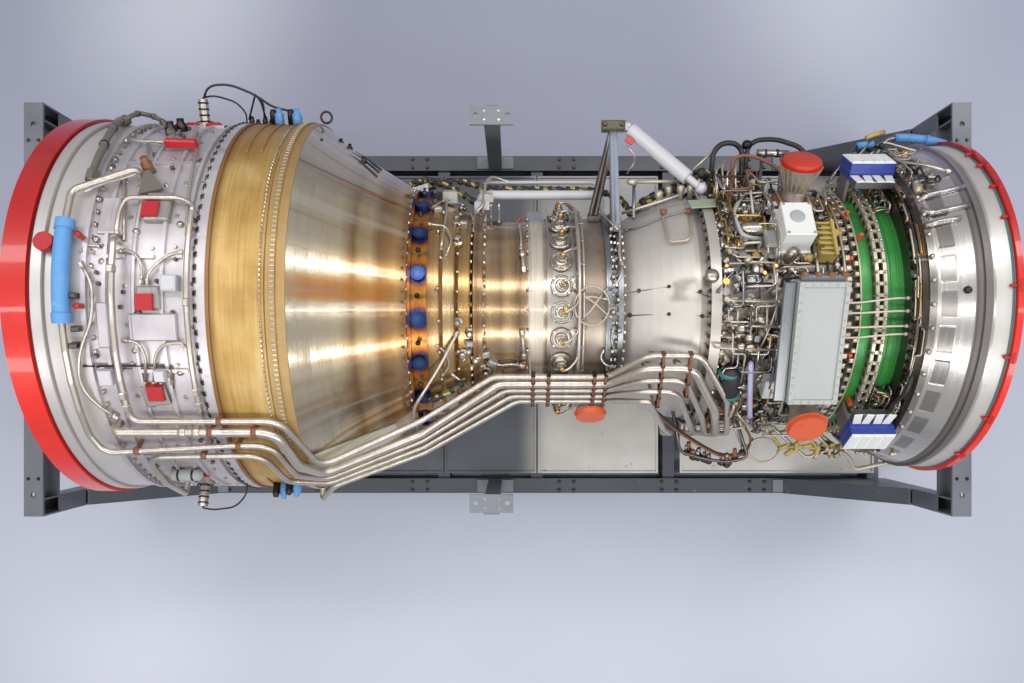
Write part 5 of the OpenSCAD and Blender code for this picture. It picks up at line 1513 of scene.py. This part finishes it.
def box_trim():
    """Screws round the lid of the control box, lips at two of its sides and brown plugs beside it."""
    kit = Kit("box_trim")
    a, top = BOX_ANGLE, 0.746 + 0.090
    x0 = accessory.x0 + 0.284
    screws = [(x0 + dx, -0.270 + k * 0.0386) for k in range(15) for dx in (0.010, 0.218)]
    screws += [(x0 + 0.024 + k * 0.036, y) for k in range(6) for y in (-0.275, 0.275)]
    kit.turned("bolt", [seat(x, a, 0) @ shift(0, y, top - 0.001) for x, y in screws], stub(4.5, 3, 3, 4.5))
    kit["bracket"].block(seat(x0 - 0.004, a, 0) @ shift(-0.026, 0, top - 0.045), (0.056, 0.56, 0.012), 0.004)
    kit["bracket"].block(seat(x0 + 0.114, a, 0) @ shift(0, 0.300, top - 0.06), (0.20, 0.032, 0.03), 0.005)
    for dx in (0.03, 0.09, 0.15, 0.21):
        kit["brown"].block(seat(x0 + dx, a, 0) @ shift(0, 0.315, top - 0.055), (0.026, 0.020, 0.03), 0.005)
    return kit


def vane_gear():
    """Lever row beside the first green band, pins of both rows and the cream tubes that cross them."""
    kit = Kit("vane_gear")
    count = 76
    half = 180 / count
    for k in range(count):
        a = 360 * k / count
        kit.blocks(
            ("lever", seat(1.682, a + half, 0.608), (0.026, 0.024, 0.046), 0.004),
            ("lever", seat(1.722, a, 0.608), (0.022, 0.022, 0.040), 0.004),
            ("bolt_dark", seat(1.702, a + half, 0.608), (0.014, 0.020, 0.030), 0.003))
        kit.turned("bolt", [seat(x, a, 0.6735) for x in (1.805, 1.843)], stub(8, 6, 5, 10), 6)
    for finish, radius, x, r in (("lever", 0.006, 1.662, 0.652), ("lever", 0.005, 1.737, 0.645),
                                 ("vane_green", 0.004, 1.880, 0.652), ("vane_green", 0.004, 1.912, 0.652)):
        kit.hoop(finish, radius, x, r, 145)
    for place in row(1.650, ACCESSORY_R, 38, 2):
        kit["lever"].block(place, (0.012, 0.02, 0.058), 0.003)
    for py, y_end in ((303, 298), (313, 311), (327, 326), (337, 334)):
        first, last = spot(843, py, 0.09)[1], spot(905, y_end, 0.05)[1]
        rows = [(1.605, first, ACCESSORY_R), (1.605, first, 0.700), (1.70, first, 0.702), (1.88, last, 0.702),
                (1.944, last, 0.700)]
        kit.pipe("lever", 0.006, wrapped(rows, 0.03))
        kit.turned("lever", [seat(1.926, last, 0.700) @ turn("Y", 90)], stub(10, 15))
    for px, py in ((845, 215), (858, 240), (848, 262), (847, 352), (848, 398)):
        kit["tag_orange"].block(at(px, py, 0.0, rng.uniform(0, 90)), (0.018, 0.014, 0.05), 0.004)
    undergrowth(kit, (1.59, 1.65), (-74, 74), 90)
    thicket(kit, (1.58, 1.665), (-70, 70), 30, radii=(3, 5), lifts=(0.02, 0.07))
    return kit


def yellow_casting():
    """Ochre casting with ribs, and the lid of the white box beside it."""
    kit = Kit("yellow_casting")
    x, a, r = accessory.x0 + 0.488, YELLOW_ANGLE, 0.596 + 0.110
    for k in range(7):
        kit["yellow"].block(seat(x, a, 0) @ shift(0, -0.084 + k * 0.028, r), (0.078, 0.010, 0.018), 0.004)
    kit["yellow"].block(seat(x + 0.03, a, r), (0.016, 0.19, 0.03), 0.004)
    for y, side in ((-0.07, -0.05), (0.02, -0.055), (0.07, 0.05)):
        lying = shift(side, y, r - 0.05) @ turn("Y", math.copysign(90, side))
        kit.turned("yellow", [seat(x, a, 0) @ lying], stub(20, 30, 12, 36, 12, 50), 10)
    for y in (-0.05, 0.01, 0.06):
        kit["flange"].block(seat(x - 0.03, a, 0) @ shift(0, y, r + 0.002), (0.02, 0.02, 0.016), 0.004)
    lid = seat(accessory.x0 + 0.344, WHITE_BOX_ANGLE, 0.0)
    kit["pale"].block(lid @ shift(0, 0, 0.772), (0.144, 0.192, 0.010), 0.004)
    kit.turned("box", [lid @ shift(-0.005, 0.01, 0.781)], stub(36, 3, 30, 5), 24)
    bolt(kit["bolt"], [lid @ shift(dx, dy, 0.781) for dx in (-0.060, 0.060) for dy in (-0.084, 0.084)], 0.012)
    kit.routes(
        ("steel", 6, 0.03, (824, 190, 60), (826, 202, 90), (826, 216, 20)),
        ("brown", 6, 0.03, (828, 201, 60), (838, 210, 84), (848, 220, 40)))
    return kit


# Intake and stand

def navy_boxes():
    """Striped pale lids and rims of the two navy boxes, and four small plates beside each."""
    kit = Kit("navy_boxes")
    x = vanes.x0 + 0.1875
    for side in (1, -1):
        lid = seat(x, NAVY_ANGLE * side, NAVY_TOP)
        panel = seat(x, (NAVY_ANGLE - 7.5) * side, 0.75)
        for k in range(4):
            kit["pale"].block(lid @ shift(-0.081 + k * 0.054, 0, -0.001), (0.040, 0.122, 0.005), 0.002)
        kit["navy"].block(lid @ shift(0, 0, -0.052), (0.222, 0.147, 0.010), 0.003)
        for k, spin in enumerate((9, -6, 4, -10)):
            plate = panel @ shift(-0.078 + 0.052 * k, 0, 0.026) @ turn("Z", spin)
            kit["pale"].block(plate, (0.040, 0.075, 0.005), 0.002)
        kit["bracket"].block(panel @ shift(0, 0, -0.008), (0.19, 0.07, 0.036), 0.003)
    return kit


def intake_details():
    """Bolts, clips, hoses and small plumbing round the intake."""
    kit = Kit("intake")
    flange_bolts(kit["bolt_dark"], dark.x0 + 0.0135, 0.735, 90, 0.020, -1)
    for place in row(dark.x0 + 0.023, 0.72, 45):
        kit["flange"].block(place, (0.010, 0.022, 0.034), 0.003)
    kit.turned("nozzle", row(intake.x0 + 0.015, 0.788, 45, 4), stub(12, 12, 7, 18))
    kit.hoop("teal", 0.0065, 2.322, 0.866, 181)
    for px, py in ((995, 163), (995, 184), (1017, 215), (1020, 285), (1013, 358), (993, 420), (962, 452),
                   (975, 152)):
        clip = seat(2.342, spot(px, py)[1], 0.880)
        kit["tag_red"].block(clip, (0.016, 0.052, 0.014), 0.005)
        kit["tag_red"].block(clip @ shift(-0.022, 0, -0.010), (0.034, 0.014, 0.014), 0.004)
    for rows in ([(913, 199, 8), (926, 196, 16), (966, 186, 10)],
                 [(918, 216, 8), (932, 213, 16), (970, 205, 10)],
                 [(924, 226, 8), (936, 223, 16), (961, 218, 10)]):
        kit.pipe("intake", 0.014, run(rows, 0.02), sides=12)
    kit.turned("bolt_dark", [at(967, 290, -0.002)], stub(18, 14, 10, 22))
    # blue hose with its collars, along the far edge
    hose = levels((895, 138, 1.50), (908, 138, 1.50), (928, 140, 1.48), (944, 144, 1.45))
    kit.pipe("sleeve", 0.022, hose, 0.08, 16)
    for px, py in ((908, 138.3), (926, 139.8)):
        kit.pipe("sleeve", 0.0255, levels((px, py, 1.5), (px + 1.5, py + 0.2, 1.5)), sides=16)
    yellow = levels((866, 138, 1.62), (876, 134, 1.62), (884, 132, 1.60))
    kit.pipe("yellow", 0.012, yellow, sides=10)
    kit.pipe("bracket", 0.007, [yellow[1], on(1.76, 64, 0.70)])
    root = [on(1.86, 70, 0.612), level(886, 140, 1.5), hose[0], level(897, 138, 1.5)]
    kit.pipe("bracket", 0.012, root, 0.03)
    kit.pipe("bracket", 0.012, [hose[-1], level(950, 152, 1.44), on(2.16, 78, 0.845)])
    kit.routes(("steel", 7, 0.05, (880, 158, 10), (900, 160, 60), (930, 166, 60), (950, 172, 10)))
    far = levels((880, 141, 1.55), (930, 155, 1.55), (952, 165, 1.52))
    kit.pipe("steel", 0.007, [on(1.80, 66, 0.612)] + far + [on(2.20, 70, 0.858)], 0.05)
    harness(kit, [(846, 162, 150), (852, 150, 180), (866, 144, 200), (884, 146, 120)], 0.013, 0.06)
    blue = levels((857, 146, 1.60), (873, 144, 1.60))
    kit.pipe("sleeve", 0.018, blue, sides=12)
    kit.pipe("bracket", 0.008, [blue[0], on(1.70, 62, 0.70)])
    kit.pipe("rubber", 0.011, run([(908, 366, 30), (905, 392, 60), (892, 420, 90), (884, 432, 60)], 0.05))
    cream = levels((850, 458, 1.20), (853, 470, 1.16), (890, 462, 1.18), (918, 462, 1.18), (930, 450, 1.22),
                   (937, 440, 1.28))
    kit.pipe("lever", 0.012, [on(1.62, -80, 0.60)] + cream + [on(2.06, -72, 0.824)], 0.05, 10)
    thicket(kit, (1.945, 1.985), (-60, 60), 26, radii=(3, 5), lifts=(0.012, 0.04), base=0.735)
    thicket(kit, (2.00, 2.10), (38, 74), 16, radii=(3, 6), lifts=(0.012, 0.05))
    undergrowth(kit, (2.00, 2.10), (36, 74), 20)
    for angles in ((40, 50), (-50, -40)):
        thicket(kit, (1.86, 1.93), angles, 12, radii=(3, 6), lifts=(0.02, 0.08))
    return kit


def stand_details():
    """Bolts and small plates on the rails, pads and end plates."""
    kit = Kit("stand")
    rail_top = low("post_exhaust_near").z
    rail_y = (low("side_rail_far").y + high("side_rail_far").y) / 2
    pad_top, plate_top = high("side_pad_near").z, high("end_beam_intake").z
    half_length = high("end_beam_intake").x
    for side in (-1, 1):
        bolt(kit["bolt_dark"], [shift(x + dx, side * (rail_y + dy), rail_top)
                                for x in (-1.9, -1.2, -0.55, 0.45, 1.15, 1.75)
                                for dx in (-0.05, 0.05) for dy in (0.028, -0.028)], 0.022)
        bolt(kit["bolt"], [shift(-0.035 + dx, side * (rail_y - 0.022 + dy), pad_top)
                           for dx in (-0.04, 0.04) for dy in (-0.025, 0.025)], 0.014)
        for end in (-1, 1):
            splice = shift(end * (half_length - 0.726), side * rail_y, rail_top)
            kit["plate"].block(splice, (0.10, 0.085, 0.012), 0.003)
            bolt(kit["bolt_dark"], [shift(end * (half_length - 0.053 + dx), side * (rail_y - 0.16), plate_top)
                                    for dx in (-0.028, 0.028)], 0.016)
    for px in (812, 838):
        x = level(px, 470, rail_top + 0.02).x
        kit.turned("bolt", [shift(x, -rail_y + 0.01, rail_top)], stub(20, 12, 12, 20))
    for x in (1.98, 2.06):
        kit["plate"].block(shift(x, -rail_y - 0.004, rail_top), (0.05, 0.085, 0.05), 0.006)
    return kit


REGIONS = (
    drum_lines, drum_fittings, drum_tank, probe_leads, gold_top, cone_details, boss_plugs, turbine_plumbing,
    waist_fittings, nozzle_fittings, middle_details, bundle_clamps, compressor_details, accessory_maze,
    far_side_hoses, box_trim, vane_gear, yellow_casting, navy_boxes, intake_details, stand_details)
for region in REGIONS:
    region().done()


# Floor, lamps and camera

def make_floor():
    s = Shader("floor_pale")
    shade = s.noise(0.35, 3)
    s.base = srgb(199, 203, 215)
    # painted shade: the floor darkens towards the far side
    s.over(s.y.ramp(-2.6, 2.2), 156, 158, 177)
    s.over(shade.ramp(0.3, 0.7) * 0.25, 172, 176, 192)
    # painted shade: a darker patch towards the near right
    s.over(s.x.ramp(0.4, 3.0) * (1 - s.y.ramp(-2.4, 1.6)) * 0.6, 166, 170, 182)
    # painted glare: four pale round spots stand in for the lamps reflected in the floor
    for x, y, bright in ((-2.65, -2.25, 0.3), (2.70, -2.25, 0.2), (2.35, 2.30, 0.3), (-2.30, 2.30, 0.5)):
        dx, dy = s.x - x, s.y - y
        away = s.math("SQRT", dx * dx + dy * dy)
        s.over((1 - away.ramp(0.0, 1.3)) * bright, 236, 238, 244)
    material = s.surface(0.55)
    mesh = bpy.data.meshes.new("floor")
    half = 30.0
    corners = [(-half, -half, 0), (half, -half, 0), (half, half, 0), (-half, half, 0)]
    mesh.from_pydata(corners, [], [(0, 1, 2, 3)])
    mesh.materials.append(material)
    floor = bpy.data.objects.new("floor", mesh)
    bpy.context.collection.objects.link(floor)


def lamp(name, start, end, width, power):
    """Strip lamp between two points, turned towards the shaft."""
    start, end = Vector(start), Vector(end)
    middle_point = (start + end) / 2
    along = (end - start).normalized()
    away = middle_point - Vector((middle_point.x * 0.3, 0, SHAFT_Z))
    away = (away - along * away.dot(along)).normalized()
    across = away.cross(along)
    data = bpy.data.lights.new(name, "AREA")
    data.shape = "RECTANGLE"
    data.size, data.size_y = (end - start).length, width
    data.energy = power
    made = bpy.data.objects.new(name, data)
    turned = Matrix((along, across, away)).transposed().to_4x4()
    made.matrix_world = Matrix.Translation(middle_point) @ turned
    bpy.context.collection.objects.link(made)


def make_light():
    world = bpy.data.worlds.new("studio")
    world.use_nodes = True
    back = world.node_tree.nodes["Background"]
    back.inputs["Color"].default_value = (0.88, 0.90, 0.95, 1)
    back.inputs["Strength"].default_value = 0.48
    bpy.context.scene.world = world
    lamp("strip_far", (-6.4, 2.25, 6.6), (1.0, 2.25, 6.6), 0.9, 128)
    lamp("strip_far_end", (1.0, 2.3, 6.6), (10.4, 4.08, 6.6), 1.0, 216)
    lamp("strip_middle", (-6.4, -0.56, 6.9), (10.4, -0.62, 6.9), 0.22, 124)
    lamp("strip_near", (-6.4, -3.4, 6.2), (1.0, -3.5, 6.2), 0.8, 128)
    lamp("strip_near_end", (1.0, -3.5, 6.2), (10.4, -5.4, 6.2), 0.9, 216)


def make_camera():
    data = bpy.data.cameras.new("camera")
    data.lens = LENS_MM
    data.sensor_width = SENSOR_MM
    data.clip_end = 200
    data.shift_x = (PICTURE[0] / 2 - AIM_PIXEL[0]) / PICTURE[0]
    data.shift_y = (AIM_PIXEL[1] - PICTURE[1] / 2) / PICTURE[0]
    camera = bpy.data.objects.new("camera", data)
    camera.location = EYE
    bpy.context.collection.objects.link(camera)
    bpy.context.scene.camera = camera
    bpy.context.scene.view_settings.view_transform = "Standard"


make_floor()
make_light()
make_camera()
